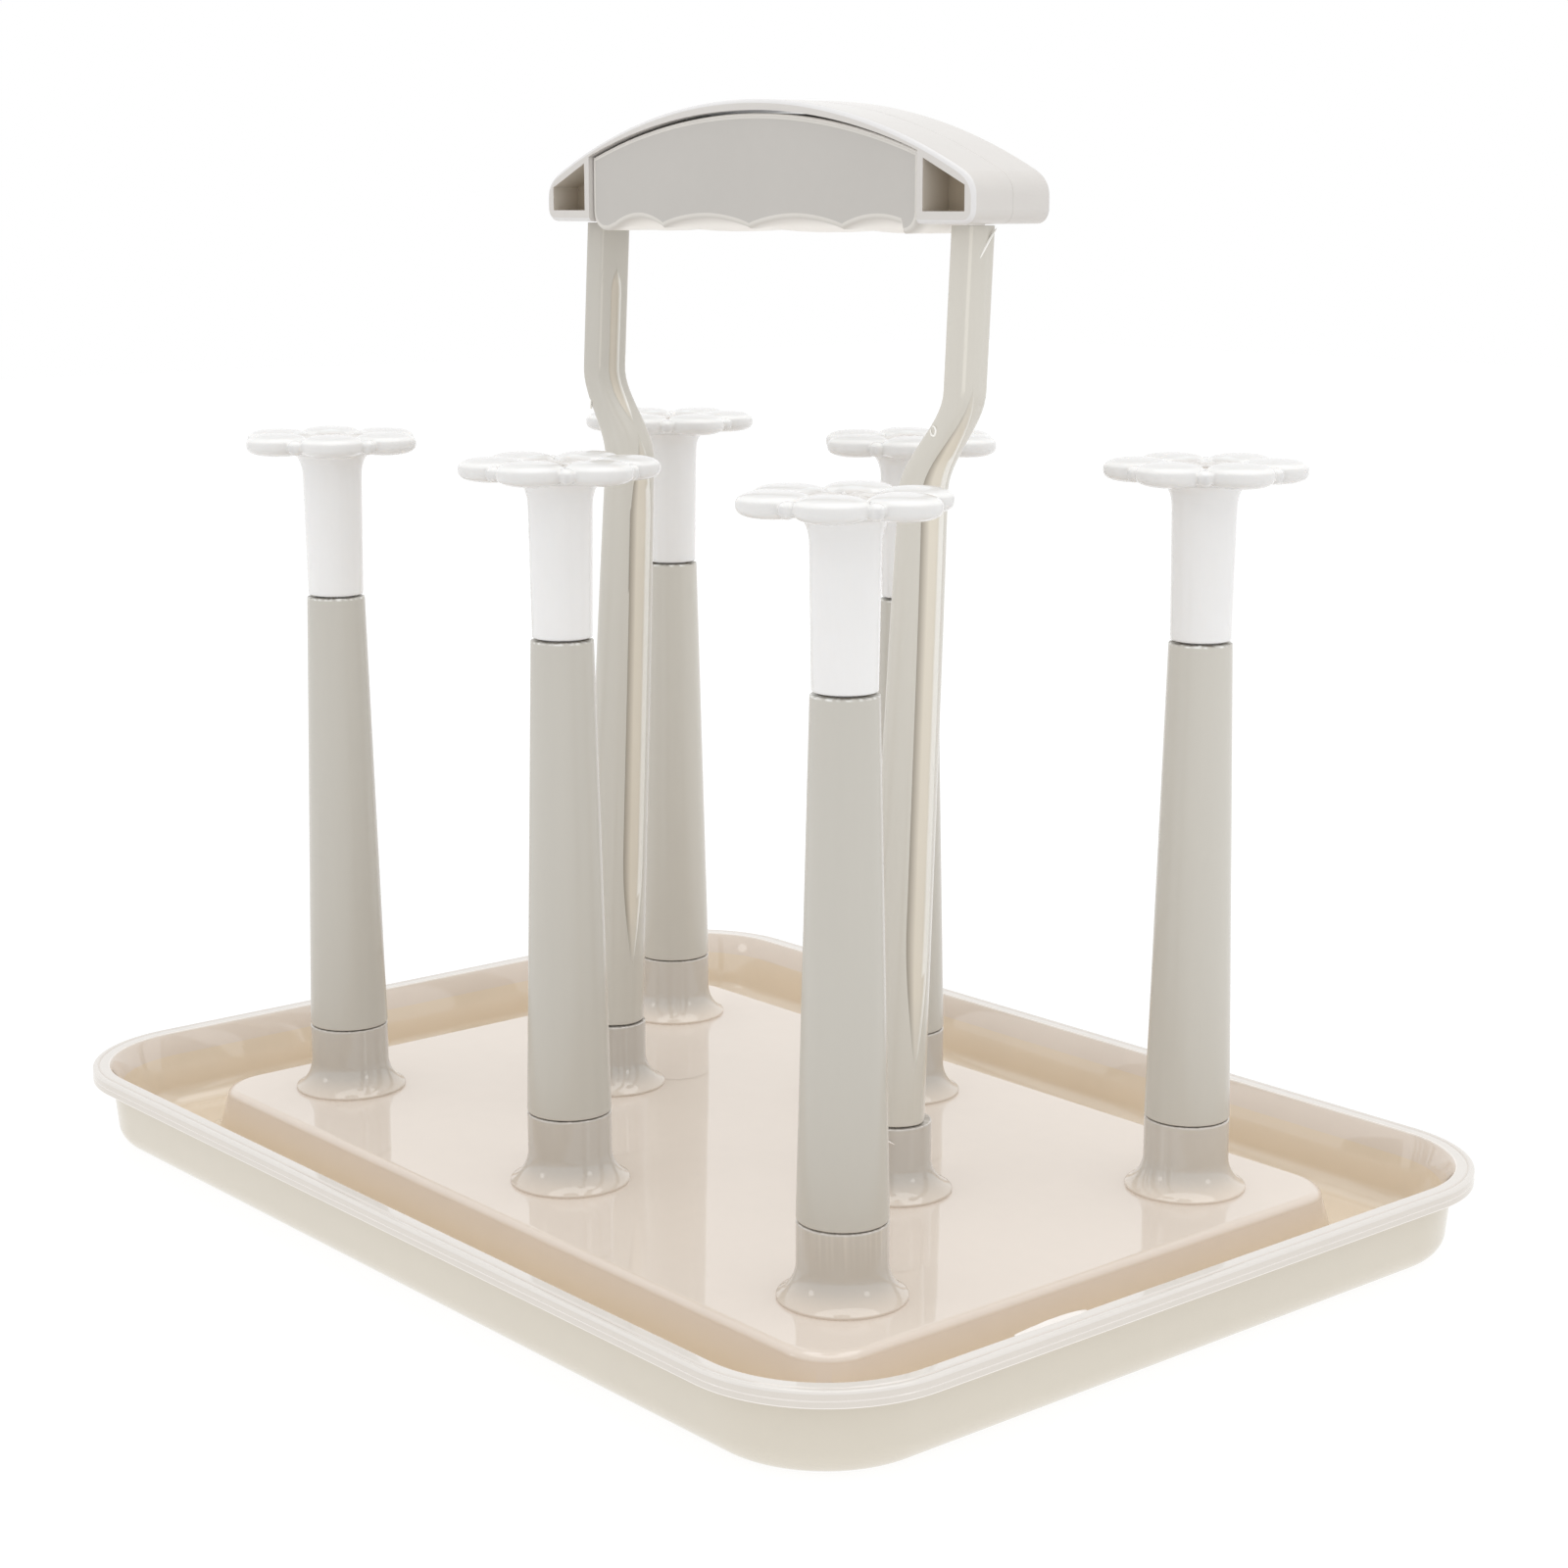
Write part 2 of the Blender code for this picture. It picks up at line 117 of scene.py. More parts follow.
def scaledBy(colour, factor):
    return tuple(part * factor for part in colour)


def meshFrom(name, shape):
    bmesh.ops.recalc_face_normals(shape, faces=shape.faces)
    mesh = bpy.data.meshes.new(name)
    shape.to_mesh(mesh)
    shape.free()
    return mesh


def loftInto(shape, rings, looped=False):
    # quads between rings of equal count; the ends get a face unless the loft closes on itself
    layers = [[shape.verts.new(point) for point in ring] for ring in rings]
    pairs = list(zip(layers, layers[1:]))
    if looped:
        pairs.append((layers[-1], layers[0]))
    count = len(layers[0])
    for one, two in pairs:
        for i in range(count):
            j = (i + 1) % count
            shape.faces.new((one[i], two[i], two[j], one[j]))
    if not looped:
        shape.faces.new(layers[0])
        shape.faces.new(list(reversed(layers[-1])))


def turnedRings(profile, count, centre=(0.0, 0.0), nudge=None):
    # nudge(angle, index) gives a small (outward, up) shift, for burrs and uneven edges
    rings = []
    for index, (radius, height) in enumerate(profile):
        ring = []
        for i in range(count):
            angle = math.tau * i / count
            out, up = nudge(angle, index) if nudge else (0.0, 0.0)
            reach = radius + out
            ring.append((centre[0] + reach * math.cos(angle),
                         centre[1] + reach * math.sin(angle), height + up))
        rings.append(ring)
    return rings


def threadInto(shape, points, radius, sides=8):
    # a thin thread of plastic through the points, pointed at both ends
    rings = []
    for i, point in enumerate(points):
        along = (points[min(i + 1, len(points) - 1)] - points[max(i - 1, 0)]).normalized()
        side = along.cross(Vector((0.31, 0.17, 0.93))).normalized()
        other = along.cross(side)
        thick = radius * (0.12 + 0.88 * math.sin(math.pi * i / (len(points) - 1)) ** 0.5)
        rings.append([point + thick * (side * math.cos(math.tau * k / sides)
                                       + other * math.sin(math.tau * k / sides)) for k in range(sides)])
    loftInto(shape, rings)


def smoothOver(piece, sharpAngle, even=True):
    piece.data.shade_smooth()
    piece.data.set_sharp_from_angle(angle=math.radians(sharpAngle))
    if even:
        weights = piece.modifiers.new("even_normals", "WEIGHTED_NORMAL")
        weights.keep_sharp = True
        weights.weight = 90


def newObject(name, data):
    made = bpy.data.objects.new(name, data)
    bpy.context.scene.collection.objects.link(made)
    return made


def addPiece(name, mesh, material, sharpAngle=38.0, even=True):
    piece = newObject(name, mesh)
    if not mesh.materials:
        mesh.materials.append(material)
    smoothOver(piece, sharpAngle, even)
    return piece


def settle(piece):
    # replaces the piece's mesh by its own mesh with every modifier applied
    bpy.context.view_layer.update()
    graph = bpy.context.evaluated_depsgraph_get()
    mesh = bpy.data.meshes.new_from_object(piece.evaluated_get(graph), depsgraph=graph)
    piece.modifiers.clear()
    piece.data = mesh
    return piece


def carve(piece, cutters, operation):
    for cutter in cutters:
        step = piece.modifiers.new(cutter.name, "BOOLEAN")
        step.operation = operation
        step.solver = "EXACT"
        step.object = cutter
    settle(piece)
    for cutter in cutters:
        bpy.data.objects.remove(cutter, do_unlink=True)
    return piece


def helperPiece(name, shape):
    return newObject(name, meshFrom(name, shape))


def tintFaces(mesh, chooseTint):
    # a colour for each face corner, which the finish multiplies into its own; it carries the painted light
    # and shade of each piece, and one stub's scratches
    layer = mesh.color_attributes.new("tint", "FLOAT_COLOR", "CORNER")
    for face in mesh.polygons:
        for corner in face.loop_indices:
            place = mesh.vertices[mesh.loops[corner].vertex_index].co
            layer.data[corner].color = (*chooseTint(face, place), 1.0)


def addThread(name, points, radius, material, tint):
    # a loose or raised thread of plastic, all in one tint, which every caller gives as a painted highlight
    shape = bmesh.new()
    threadInto(shape, points, radius)
    piece = addPiece(name, meshFrom(name, shape), material, 60.0, even=False)
    tintFaces(piece.data, lambda face, place: tint)
    return piece


def addNode(tree, kind, **settings):
    node = tree.nodes.new(kind)
    for name, value in settings.items():
        setattr(node, name, value)
    return node


def noiseAt(tree, scale, detail=2.0, stretch=(1.0, 1.0, 1.0)):
    # object-space noise, in cycles for each metre
    place = addNode(tree, "ShaderNodeTexCoord")
    turn = addNode(tree, "ShaderNodeMapping")
    turn.inputs["Scale"].default_value = stretch
    tree.links.new(place.outputs["Object"], turn.inputs["Vector"])
    field = addNode(tree, "ShaderNodeTexNoise")
    field.inputs["Scale"].default_value = scale
    field.inputs["Detail"].default_value = detail
    tree.links.new(turn.outputs["Vector"], field.inputs["Vector"])
    return field.outputs["Fac"]


def rampOf(tree, source, low, high):
    # a soft ramp from one colour to another over the middle of the noise
    ramp = addNode(tree, "ShaderNodeValToRGB")
    ramp.color_ramp.elements[0].position = 0.25
    ramp.color_ramp.elements[0].color = (*low, 1.0)
    ramp.color_ramp.elements[1].position = 0.75
    ramp.color_ramp.elements[1].color = (*high, 1.0)
    tree.links.new(source, ramp.inputs["Fac"])
    return ramp.outputs["Color"]


def mixColours(tree, share, one, two, blend="MIX"):
    mix = addNode(tree, "ShaderNodeMix", data_type="RGBA", blend_type=blend)
    mix.inputs["Factor"].default_value = share
    tree.links.new(one, mix.inputs["A"])
    tree.links.new(two, mix.inputs["B"])
    return mix.outputs["Result"]


def bumpOf(tree, height, depth, below=None):
    bump = addNode(tree, "ShaderNodeBump")
    bump.inputs["Strength"].default_value = 1.0
    bump.inputs["Distance"].default_value = depth
    tree.links.new(height, bump.inputs["Height"])
    if below:
        tree.links.new(below, bump.inputs["Normal"])
    return bump.outputs["Normal"]


untinted = (1.0, 1.0, 1.0)          # the finish's own colour
evenly = (1.0, 1.0, 1.0)
lengthwise = (1.0, 1.0, 0.07)       # streaks that run up a piece
shared = {
    "contrast": 0.022, "cloudStretch": evenly, "grainStretch": evenly, "waveStretch": evenly,
    "milkiness": 0.0, "glowReach": (1.0, 0.8, 0.6), "glowScale": 0.002, "speckShare": 0.35,
}


def mouldedPlastic(name, given):
    # cloudy colour, uneven gloss, a fine moulded skin and the long soft waves of shrunk plastic
    look = {**shared, **given}
    material = bpy.data.materials.new(name)
    material.use_nodes = True
    tree = material.node_tree
    shader = tree.nodes["Principled BSDF"]
    shader.inputs["IOR"].default_value = look["ior"]
    shader.inputs["Subsurface Weight"].default_value = look["milkiness"]
    shader.inputs["Subsurface Radius"].default_value = look["glowReach"]
    shader.inputs["Subsurface Scale"].default_value = look["glowScale"]
    dark = scaledBy(look["colour"], 1 - look["contrast"])
    light = scaledBy(look["colour"], 1 + look["contrast"])
    clouds = rampOf(tree, noiseAt(tree, look["cloudScale"], 1.0, look["cloudStretch"]), dark, light)
    specks = rampOf(tree, noiseAt(tree, look["speckScale"], 3.0, look["cloudStretch"]), dark, light)
    # the tint attribute brings each piece's painted light and shade into the base colour
    tint = addNode(tree, "ShaderNodeAttribute", attribute_name="tint")
    plain = mixColours(tree, look["speckShare"], clouds, specks)
    tree.links.new(mixColours(tree, 1.0, plain, tint.outputs["Color"], "MULTIPLY"),
                   shader.inputs["Base Color"])
    gloss = addNode(tree, "ShaderNodeMapRange")
    gloss.inputs["To Min"].default_value = look["glossiest"]
    gloss.inputs["To Max"].default_value = look["dullest"]
    tree.links.new(noiseAt(tree, look["speckScale"] / 3, 2.0), gloss.inputs["Value"])
    tree.links.new(gloss.outputs["Result"], shader.inputs["Roughness"])
    grain = noiseAt(tree, look["grainScale"], 3.0, look["grainStretch"])
    skin = bumpOf(tree, grain, look["grainDepth"])
    swell = noiseAt(tree, look["waveScale"], 1.0, look["waveStretch"])
    waves = bumpOf(tree, swell, look["waveDepth"], skin)
    tree.links.new(waves, shader.inputs["Normal"])
    return material


creamTray = mouldedPlastic("cream_tray_plastic", {
    "colour": (0.765, 0.676, 0.588), "cloudScale": 9.0, "speckScale": 160.0,
    "ior": 1.82, "glossiest": 0.008, "dullest": 0.030,
    "grainScale": 1500.0, "grainDepth": 0.0000006,
    "waveScale": 26.0, "waveDepth": 0.00012, "waveStretch": (1.0, 1.0, 0.6)})

stonePegs = mouldedPlastic("stone_peg_plastic", {
    "colour": (0.535, 0.513, 0.464), "cloudScale": 75.0, "speckScale": 260.0,
    "cloudStretch": lengthwise, "ior": 1.47, "glossiest": 0.20, "dullest": 0.28,
    "grainScale": 700.0, "grainDepth": 0.0000006, "grainStretch": (1.0, 1.0, 0.3),
    "waveScale": 90.0, "waveDepth": 0.00005, "waveStretch": (1.0, 1.0, 0.06)})

stonePosts = mouldedPlastic("stone_post_plastic", {
    "colour": (0.585, 0.560, 0.505), "contrast": 0.025, "cloudScale": 90.0, "speckScale": 500.0,
    "cloudStretch": lengthwise, "ior": 1.48, "glossiest": 0.14, "dullest": 0.24,
    "grainScale": 900.0, "grainDepth": 0.000002, "grainStretch": (1.0, 1.0, 0.15),
    "waveScale": 110.0, "waveDepth": 0.00008, "waveStretch": (1.0, 1.0, 0.12)})

stoneCover = mouldedPlastic("stone_cover_plastic", {
    "colour": (0.630, 0.605, 0.578), "cloudScale": 30.0, "speckScale": 240.0,
    "ior": 1.5, "glossiest": 0.12, "dullest": 0.22,
    "grainScale": 900.0, "grainDepth": 0.000002,
    "waveScale": 50.0, "waveDepth": 0.00010, "waveStretch": (0.5, 1.0, 1.0)})

satinGrip = mouldedPlastic("satin_grip_plastic", {
    "colour": (0.508, 0.488, 0.460), "cloudScale": 40.0, "speckScale": 320.0,
    "ior": 1.45, "glossiest": 0.34, "dullest": 0.48,
    "grainScale": 1400.0, "grainDepth": 0.000004,
    "waveScale": 60.0, "waveDepth": 0.00006})

milkyCaps = mouldedPlastic("milky_cap_plastic", {
    "colour": (0.730, 0.724, 0.712), "contrast": 0.012, "cloudScale": 60.0, "speckScale": 400.0,
    "ior": 1.46, "glossiest": 0.08, "dullest": 0.16,
    "grainScale": 1200.0, "grainDepth": 0.000001,
    "waveScale": 130.0, "waveDepth": 0.00004,
    "milkiness": 0.35, "glowReach": (1.0, 0.95, 0.9), "glowScale": 0.003})
print("finishes made")


# drip tray with its eight stubs, and the torn moulding flash left on it; tints multiply the finish with
# painted light and shade
tray = {
    "corner": 31.0 * mm, "cornerSteps": 24, "rimTop": 19.5 * mm,
    "rimWidth": 4.1 * mm, "lipHeight": 3.4 * mm, "rimRound": 0.6 * mm,
    "grooveAt": 1.5 * mm, "grooveHalf": 0.35 * mm, "grooveDepth": 0.22 * mm,
    "grooveShares": (-1.6, -1.0, 0.0, 1.0, 1.6),
    "ledgeWidth": 0.5 * mm, "ledgeDrop": 0.8 * mm, "ledgeBlend": 5.0 * mm,
    "wallInset": 4.5 * mm, "wall": 2.2 * mm, "wallDraft": 1.0 * mm,
    "footRound": 5.5 * mm, "basinRound": 5.0 * mm, "floorTop": 2.4 * mm,
    "deckTop": 12.8 * mm, "deckInset": 28.6 * mm, "deckCorner": 11.0 * mm,
    "deckRound": 1.9 * mm, "deckFoot": 2.5 * mm, "deckDraft": 1.2 * mm,
    "stubCount": 112, "pegStub": 9.2 * mm, "pegFlare": 13.1 * mm, "postX": 50.6 * mm,
    "postStub": 8.0 * mm, "postFlare": 12.6 * mm, "postSpigot": 4.9 * mm,
    "flareHeight": 6.7 * mm, "flareSwing": 62.0, "flareEdge": 0.5 * mm, "flareSoft": 0.4 * mm,
    "spigotHeight": 9.0 * mm, "pegWall": 2.0 * mm, "leadIn": 0.8 * mm, "shoulderRound": 0.35 * mm,
    # the tints below are painted light and shade on one cream plastic
    "deckTint": (0.97, 0.97, 0.98), "outerShadeTint": (0.81, 0.84, 0.81), "outerBounceTint": (0.90, 0.94, 0.92),
    "rimLightTint": (0.93, 1.00, 1.08), "bandShadeTint": (0.86, 0.905, 0.945),
    "basinShadeTint": (1.00, 0.97, 0.88), "stubShadeTint": (0.68, 0.72, 0.75), "paintedFootTint": (0.87, 0.86, 0.84),
    "highlightTint": (1.12, 1.20, 1.30), "grooveShadeTint": (0.88, 0.91, 0.95), "brinkShadeTint": (0.94, 0.93, 0.92),
    "lipGroove": 1.5 * mm, "lipGrooveHalf": 0.22 * mm, "lipGrooveDepth": 0.12 * mm,
    "outerFade": 9.0 * mm, "sideLow": 4.0 * mm, "sideRise": 7.0 * mm, "brinkRise": 0.3 * mm,
    "stubShadeRise": 5.5 * mm, "litStubs": (4, 6), "litGain": 1.10,
    "glintCycles": 14.0, "scratchStub": 3, "scratchCycles": 30.0, "scratchGain": 0.22,
    "flashEdge": (-50.0 * mm, -31.0 * mm), "flashHeight": 0.8 * mm, "flashSteps": 22,
    "sliverStub": 8, "sliverThread": 0.28 * mm, "sliverCurl": 0.5 * mm,
    "sliverAngles": (-105.0, -42.0), "sliverHeights": (27.9 * mm, 25.6 * mm),
}


def trayRing(inset, height, corner):
    halfX = trayHigh.x - inset
    halfY = trayHigh.y - inset
    ring = []
    for signX, signY, start in ((1, 1, 0), (-1, 1, 90), (-1, -1, 180), (1, -1, 270)):
        centre = (signX * (halfX - corner), signY * (halfY - corner))
        ring += [(x, y, height) for x, y in
                 arcPoints(centre, corner, start, start + 90, tray["cornerSteps"])]
    return ring


def traySections():
    t = tray

    def fillet(centre, radius, start, end, steps, corner=None):
        return [(inset, height, corner or t["corner"] - inset)
                for inset, height in arcPoints(centre, radius, start, end, steps)]

    def plain(inset, height):
        return inset, height, t["corner"] - inset

    top = t["rimTop"]
    side = t["deckInset"] - t["deckDraft"]
    innerWall = t["wallInset"] + t["wall"]
    lip = top - t["lipHeight"]
    under = t["deckTop"] - t["wall"]
    small = t["rimRound"]
    inside = t["deckCorner"] - t["wall"]
    sections = fillet((t["deckInset"] + t["deckRound"], t["deckTop"] - t["deckRound"]),
                      t["deckRound"], 90, 180, 14, t["deckCorner"])
    sections += fillet((side - t["deckFoot"], t["floorTop"] + t["deckFoot"]), t["deckFoot"],
                       0, -90, 8, t["deckCorner"])
    sections += fillet((innerWall + t["wallDraft"] + t["basinRound"], t["floorTop"] + t["basinRound"]),
                       t["basinRound"], 270, 180, 12)
    sections += [plain(innerWall, top - t["ledgeBlend"]),
                 plain(t["rimWidth"] + t["ledgeWidth"], top - t["ledgeDrop"])]
    sections += fillet((t["rimWidth"] - small / 2, top - small / 2), small / 2, 0, 90, 4)
    for share in t["grooveShares"]:
        sunk = t["grooveDepth"] * max(0.0, 1 - abs(share))
        sections.append(plain(t["grooveAt"] - share * t["grooveHalf"], top - sunk))
    sections += fillet((small, top - small), small, 90, 180, 5)
    for share in reversed(t["grooveShares"]):
        sunk = t["lipGrooveDepth"] * max(0.0, 1 - abs(share))
        sections.append(plain(sunk, lip + t["lipGroove"] + share * t["lipGrooveHalf"]))
    sections += fillet((small / 2, lip + small / 2), small / 2, 180, 270, 4)
    sections += [plain(t["wallInset"] - small, lip), plain(t["wallInset"], lip - small)]
    sections += fillet((t["wallInset"] + t["wallDraft"] + t["footRound"], t["footRound"]),
                       t["footRound"], 180, 270, 12)
    sections += [(side + t["wall"] - t["deckFoot"], 0.0, inside),
                 (side + t["wall"], t["deckFoot"], inside),
                 (t["deckInset"] + t["wall"], under - t["deckRound"] + t["wall"], inside),
                 (t["deckInset"] + t["deckRound"], under, inside)]
    return sections


def stubProfile(radius, flare, spigot):
    # from the spigot's top over the shoulder and down the bell to its rounded foot in the deck
    t = tray
    top = jointHeight + t["spigotHeight"]
    profile = [(0.4 * spigot, top), (spigot - t["leadIn"], top), (spigot, top - t["leadIn"]),
               (spigot, jointHeight)]
    small = t["shoulderRound"]
    profile += arcPoints((radius - small, jointHeight - small), small, 90, 0, 4)
    profile += [(radius, jointHeight - small - 0.2 * mm), (radius, jointHeight - 1.0 * mm)]
    edge = t["deckTop"] + t["flareEdge"]
    swing = math.radians(t["flareSwing"])
    soft = t["flareSoft"]
    steps = 18
    for i in range(steps + 1):
        angle = swing * i / steps
        reach = (flare - 0.3 * soft - radius) * (1 - math.cos(angle)) / (1 - math.cos(swing))
        profile.append((radius + reach,
                        edge + 0.25 * soft + t["flareHeight"] * (1 - math.sin(angle) / math.sin(swing))))
    profile += arcPoints((flare - soft, edge - 0.3 * soft), soft, 40, -22, 7)
    sunk = t["deckTop"] - t["wall"] / 2
    return profile + [(flare - 0.35 * soft, sunk), (0.4 * spigot, sunk)]


def insetOf(place):
    # distance in from the tray's outline
    acrossX = abs(place.x) - (trayHigh.x - tray["corner"])
    acrossY = abs(place.y) - (trayHigh.y - tray["corner"])
    if acrossX > 0 and acrossY > 0:
        return tray["corner"] - math.hypot(acrossX, acrossY)
    return tray["corner"] - max(acrossX, acrossY)


def stubShadeTint(number, centre, place):
    t = tray
    # painted shade: the stub is painted darker and greyer than the tray it is moulded with, blending down
    # to a warmer, less darkened foot by the deck
    rise = smoothStep((place.z - t["deckTop"]) / t["stubShadeRise"])
    # the listed stubs are painted lighter, as painted light falling on them
    gain = t["litGain"] if number in t["litStubs"] else 1.0
    colour = scaledBy(blendOf(t["paintedFootTint"], t["stubShadeTint"], rise), gain)
    # a ragged painted highlight round the shoulder's rounded edge at the joint
    if abs(place.z - jointHeight) < t["shoulderRound"] * 0.6:
        out = (place.xy - centre).normalized()
        glint = noise.noise(Vector((out.x, out.y, number)) * t["glintCycles"])
        colour = blendOf(colour, scaledBy(t["highlightTint"], 0.9), min(max(0.35 + glint, 0.0), 1.0))
    elif number == t["scratchStub"] and place.z > jointHeight - 1.2 * mm:
        out = (place.xy - centre).normalized()          # fine scratches under the joint
        scratch = noise.noise(Vector((out.x, out.y, 3.0)) * t["scratchCycles"])
        colour = scaledBy(colour, 1.0 + t["scratchGain"] * max(scratch, 0.0))
    return colour


def trayTint(face, place):
    # painted light and shade for each region of the one tray moulding
    t = tray
    middle = face.center
    if middle.z > t["deckTop"] + 0.03 * mm:
        for number, (centre, radius, flare, spigot) in enumerate(stubPlaces, 1):
            if (middle.xy - centre).length < flare + 0.05 * mm:
                return stubShadeTint(number, centre, place)
    inset = insetOf(place)
    middleInset = insetOf(middle)
    lip = t["rimTop"] - t["lipHeight"]
    # painted shade darkens the outer wall and underside, fading to painted bounce light towards the floor
    outer = blendOf(t["outerBounceTint"], t["outerShadeTint"], smoothStep(place.z / t["outerFade"]))
    if face.normal.z < -0.4 and middle.z < lip - 0.2 * mm:
        return outer
    if middleInset < t["rimWidth"] + 0.05 * mm and middle.z > lip - 0.1 * mm:
        # painted shade in the groove on the rim's top
        if abs(inset - t["grooveAt"]) < 0.2 * mm and middle.z > t["rimTop"] - 0.5 * mm:
            return t["grooveShadeTint"]
        # painted highlights along the rim's inner edge, the lip's groove and the lip's lower edge
        if abs(middleInset - t["rimWidth"]) < 0.3 * mm and 0.1 < face.normal.z < 0.99:
            return t["highlightTint"]
        if abs(place.z - lip - t["lipGroove"]) < 0.15 * mm and middle.z > lip + 0.3 * mm:
            return t["highlightTint"]
        if middle.z < lip + 0.3 * mm and face.normal.z > -0.9:
            return t["highlightTint"]
        # the rim's top is painted lighter and cooler as painted light from above, its upright band darker
        # as painted shade
        return t["rimLightTint"] if middle.z > t["rimTop"] - 0.7 * mm else t["bandShadeTint"]
    # the outer wall's outward faces take the same painted shade and bounce light
    if middleInset < t["wallInset"] + t["wallDraft"] + t["footRound"]:
        outward = face.normal.x * middle.x + face.normal.y * middle.y
        if outward > 0:
            return outer
    if middleInset < t["deckInset"] + t["deckRound"] - 0.1 * mm and middle.z < t["deckTop"] - 0.01 * mm:
        # the basin is painted with warm shade, its side lightening towards the deck's tint higher up, and a
        # painted shade line marks the deck's brink
        if inset < t["deckInset"] - 6 * mm:
            return t["basinShadeTint"]
        side = smoothStep((place.z - t["sideLow"]) / t["sideRise"])
        side = blendOf(t["basinShadeTint"], t["deckTint"], side)
        brink = smoothStep((middle.z - t["deckTop"] + 0.35 * mm) / t["brinkRise"])
        return blendOf(side, t["brinkShadeTint"], brink)
    return t["deckTint"]


stubPlaces = [(place, tray["pegStub"], tray["pegFlare"], tray["pegStub"] - tray["pegWall"] - gap)
              for place in pegPlaces.values()]
stubPlaces += [(Vector((side * tray["postX"], 0.0)), tray["postStub"], tray["postFlare"],
                tray["postSpigot"]) for side in (-1, 1)]


def makeTray():
    t = tray
    shape = bmesh.new()
    loftInto(shape, [trayRing(*section) for section in traySections()])
    piece = addPiece("drip_tray", meshFrom("drip_tray", shape), creamTray, even=False)
    stubs = []
    for number, (place, radius, flare, spigot) in enumerate(stubPlaces, 1):
        shape = bmesh.new()
        loftInto(shape, turnedRings(stubProfile(radius, flare, spigot), t["stubCount"], place))
        stubs.append(helperPiece(f"stub_{number}", shape))
    carve(piece, stubs, "UNION")
    smoothOver(piece, 38.0)
    tintFaces(piece.data, trayTint)
    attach(piece, "tray")
    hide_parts("tray")
    return piece


def makeTrayFlash():
    # a torn lip on the right rim's inner edge and a curled sliver on one stub, both painted all over with
    # the painted highlight tint
    t = tray
    shape = bmesh.new()
    start, end = t["flashEdge"]
    steps = t["flashSteps"]
    edgeX = trayHigh.x - t["rimWidth"]
    strip = []
    for i in range(steps + 1):
        share = i / steps
        y = start + (end - start) * share
        lift = t["flashHeight"] * math.sin(math.pi * share) ** 0.7 * (0.55 + 0.45 * share)
        ragged = 0.25 * mm * noise.noise(Vector((0.0, y * 420.0, 0.0)))
        foot = Vector((edgeX + 0.5 * mm, y, t["rimTop"] - 0.25 * mm))
        tip = Vector((edgeX - 0.2 * mm + ragged, y, t["rimTop"] + lift + 0.4 * ragged))
        strip.append([foot, tip, tip + Vector((0.14 * mm, 0.0, 0.0)), foot + Vector((0.35 * mm, 0.0, 0.0))])
    loftInto(shape, strip)
    piece = addPiece("rim_flash", meshFrom("rim_flash", shape), creamTray, 60.0, even=False)
    tintFaces(piece.data, lambda face, place: t["highlightTint"])
    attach(piece, "tray")
    centre, radius = stubPlaces[t["sliverStub"] - 1][:2]
    first, last = t["sliverAngles"]
    high, low = t["sliverHeights"]
    points = []
    for i in range(19):
        share = i / 18
        angle = math.radians(first + (last - first) * share)
        reach = radius + 0.05 * mm + t["sliverCurl"] * share ** 3
        points.append(Vector((centre.x + reach * math.cos(angle), centre.y + reach * math.sin(angle),
                              high - (high - low) * share ** 2.2)))
    piece = addThread("stub_sliver", points, t["sliverThread"], creamTray, t["highlightTint"])
    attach(piece, "tray")


trayPiece = makeTray()
makeTrayFlash()
print("drip tray made:", len(trayPiece.data.polygons), "faces")


# pegs: hollow tapered tubes with a torn upper edge
peg = {
    "footRadius": 9.2 * mm, "topRadius": 6.7 * mm, "wall": 2.0 * mm,
    "footRound": 0.35 * mm, "topRound": 0.4 * mm, "count": 112, "rows": 24,
    # painted light and shade: highlights on the torn top edge and the foot, shade on the top inside the
    # rim, and some pegs lighter
    "burr": 0.34 * mm, "burrCycles": 7.0, "burrHighlightTint": (1.50, 1.56, 1.66),
    "seatShadeTint": (0.62, 0.56, 0.50), "paintedFootTint": (1.12, 1.12, 1.13),
    "litPegGains": {4: 1.07, 5: 1.03, 6: 1.10},
}


def pegProfile():
    p = peg
    low, high = pegLow.z, pegHigh.z
    profile = arcPoints((p["topRadius"] - p["topRound"], high - p["topRound"]), p["topRound"], 90, 0, 5)
    run = high - p["topRound"] - low - p["footRound"]
    profile.append((p["topRadius"] + 0.01 * mm, high - p["topRound"] - 0.25 * mm))
    for i in range(1, p["rows"]):
        share = i / p["rows"]
        profile.append((p["topRadius"] + (p["footRadius"] - p["topRadius"]) * share,
                        high - p["topRound"] - run * share))
    footCentre = (p["footRadius"] - p["footRound"], low + p["footRound"])
    profile += arcPoints(footCentre, p["footRound"], 0, -90, 4)
    profile += [(p["footRadius"] - p["wall"], low), (p["topRadius"] - p["wall"], high)]
    return profile


def pegBurr(number):
    # torn moulding flash: the peg's top edge dips and rises a little
    def nudge(angle, index):
        if index > 4:
            return 0.0, 0.0
        ragged = noise.noise(Vector((math.cos(angle), math.sin(angle), number)) * peg["burrCycles"])
        drop = -peg["burr"] * (0.5 + ragged) * (1 - index / 5)
        return 0.3 * drop, drop
    return nudge


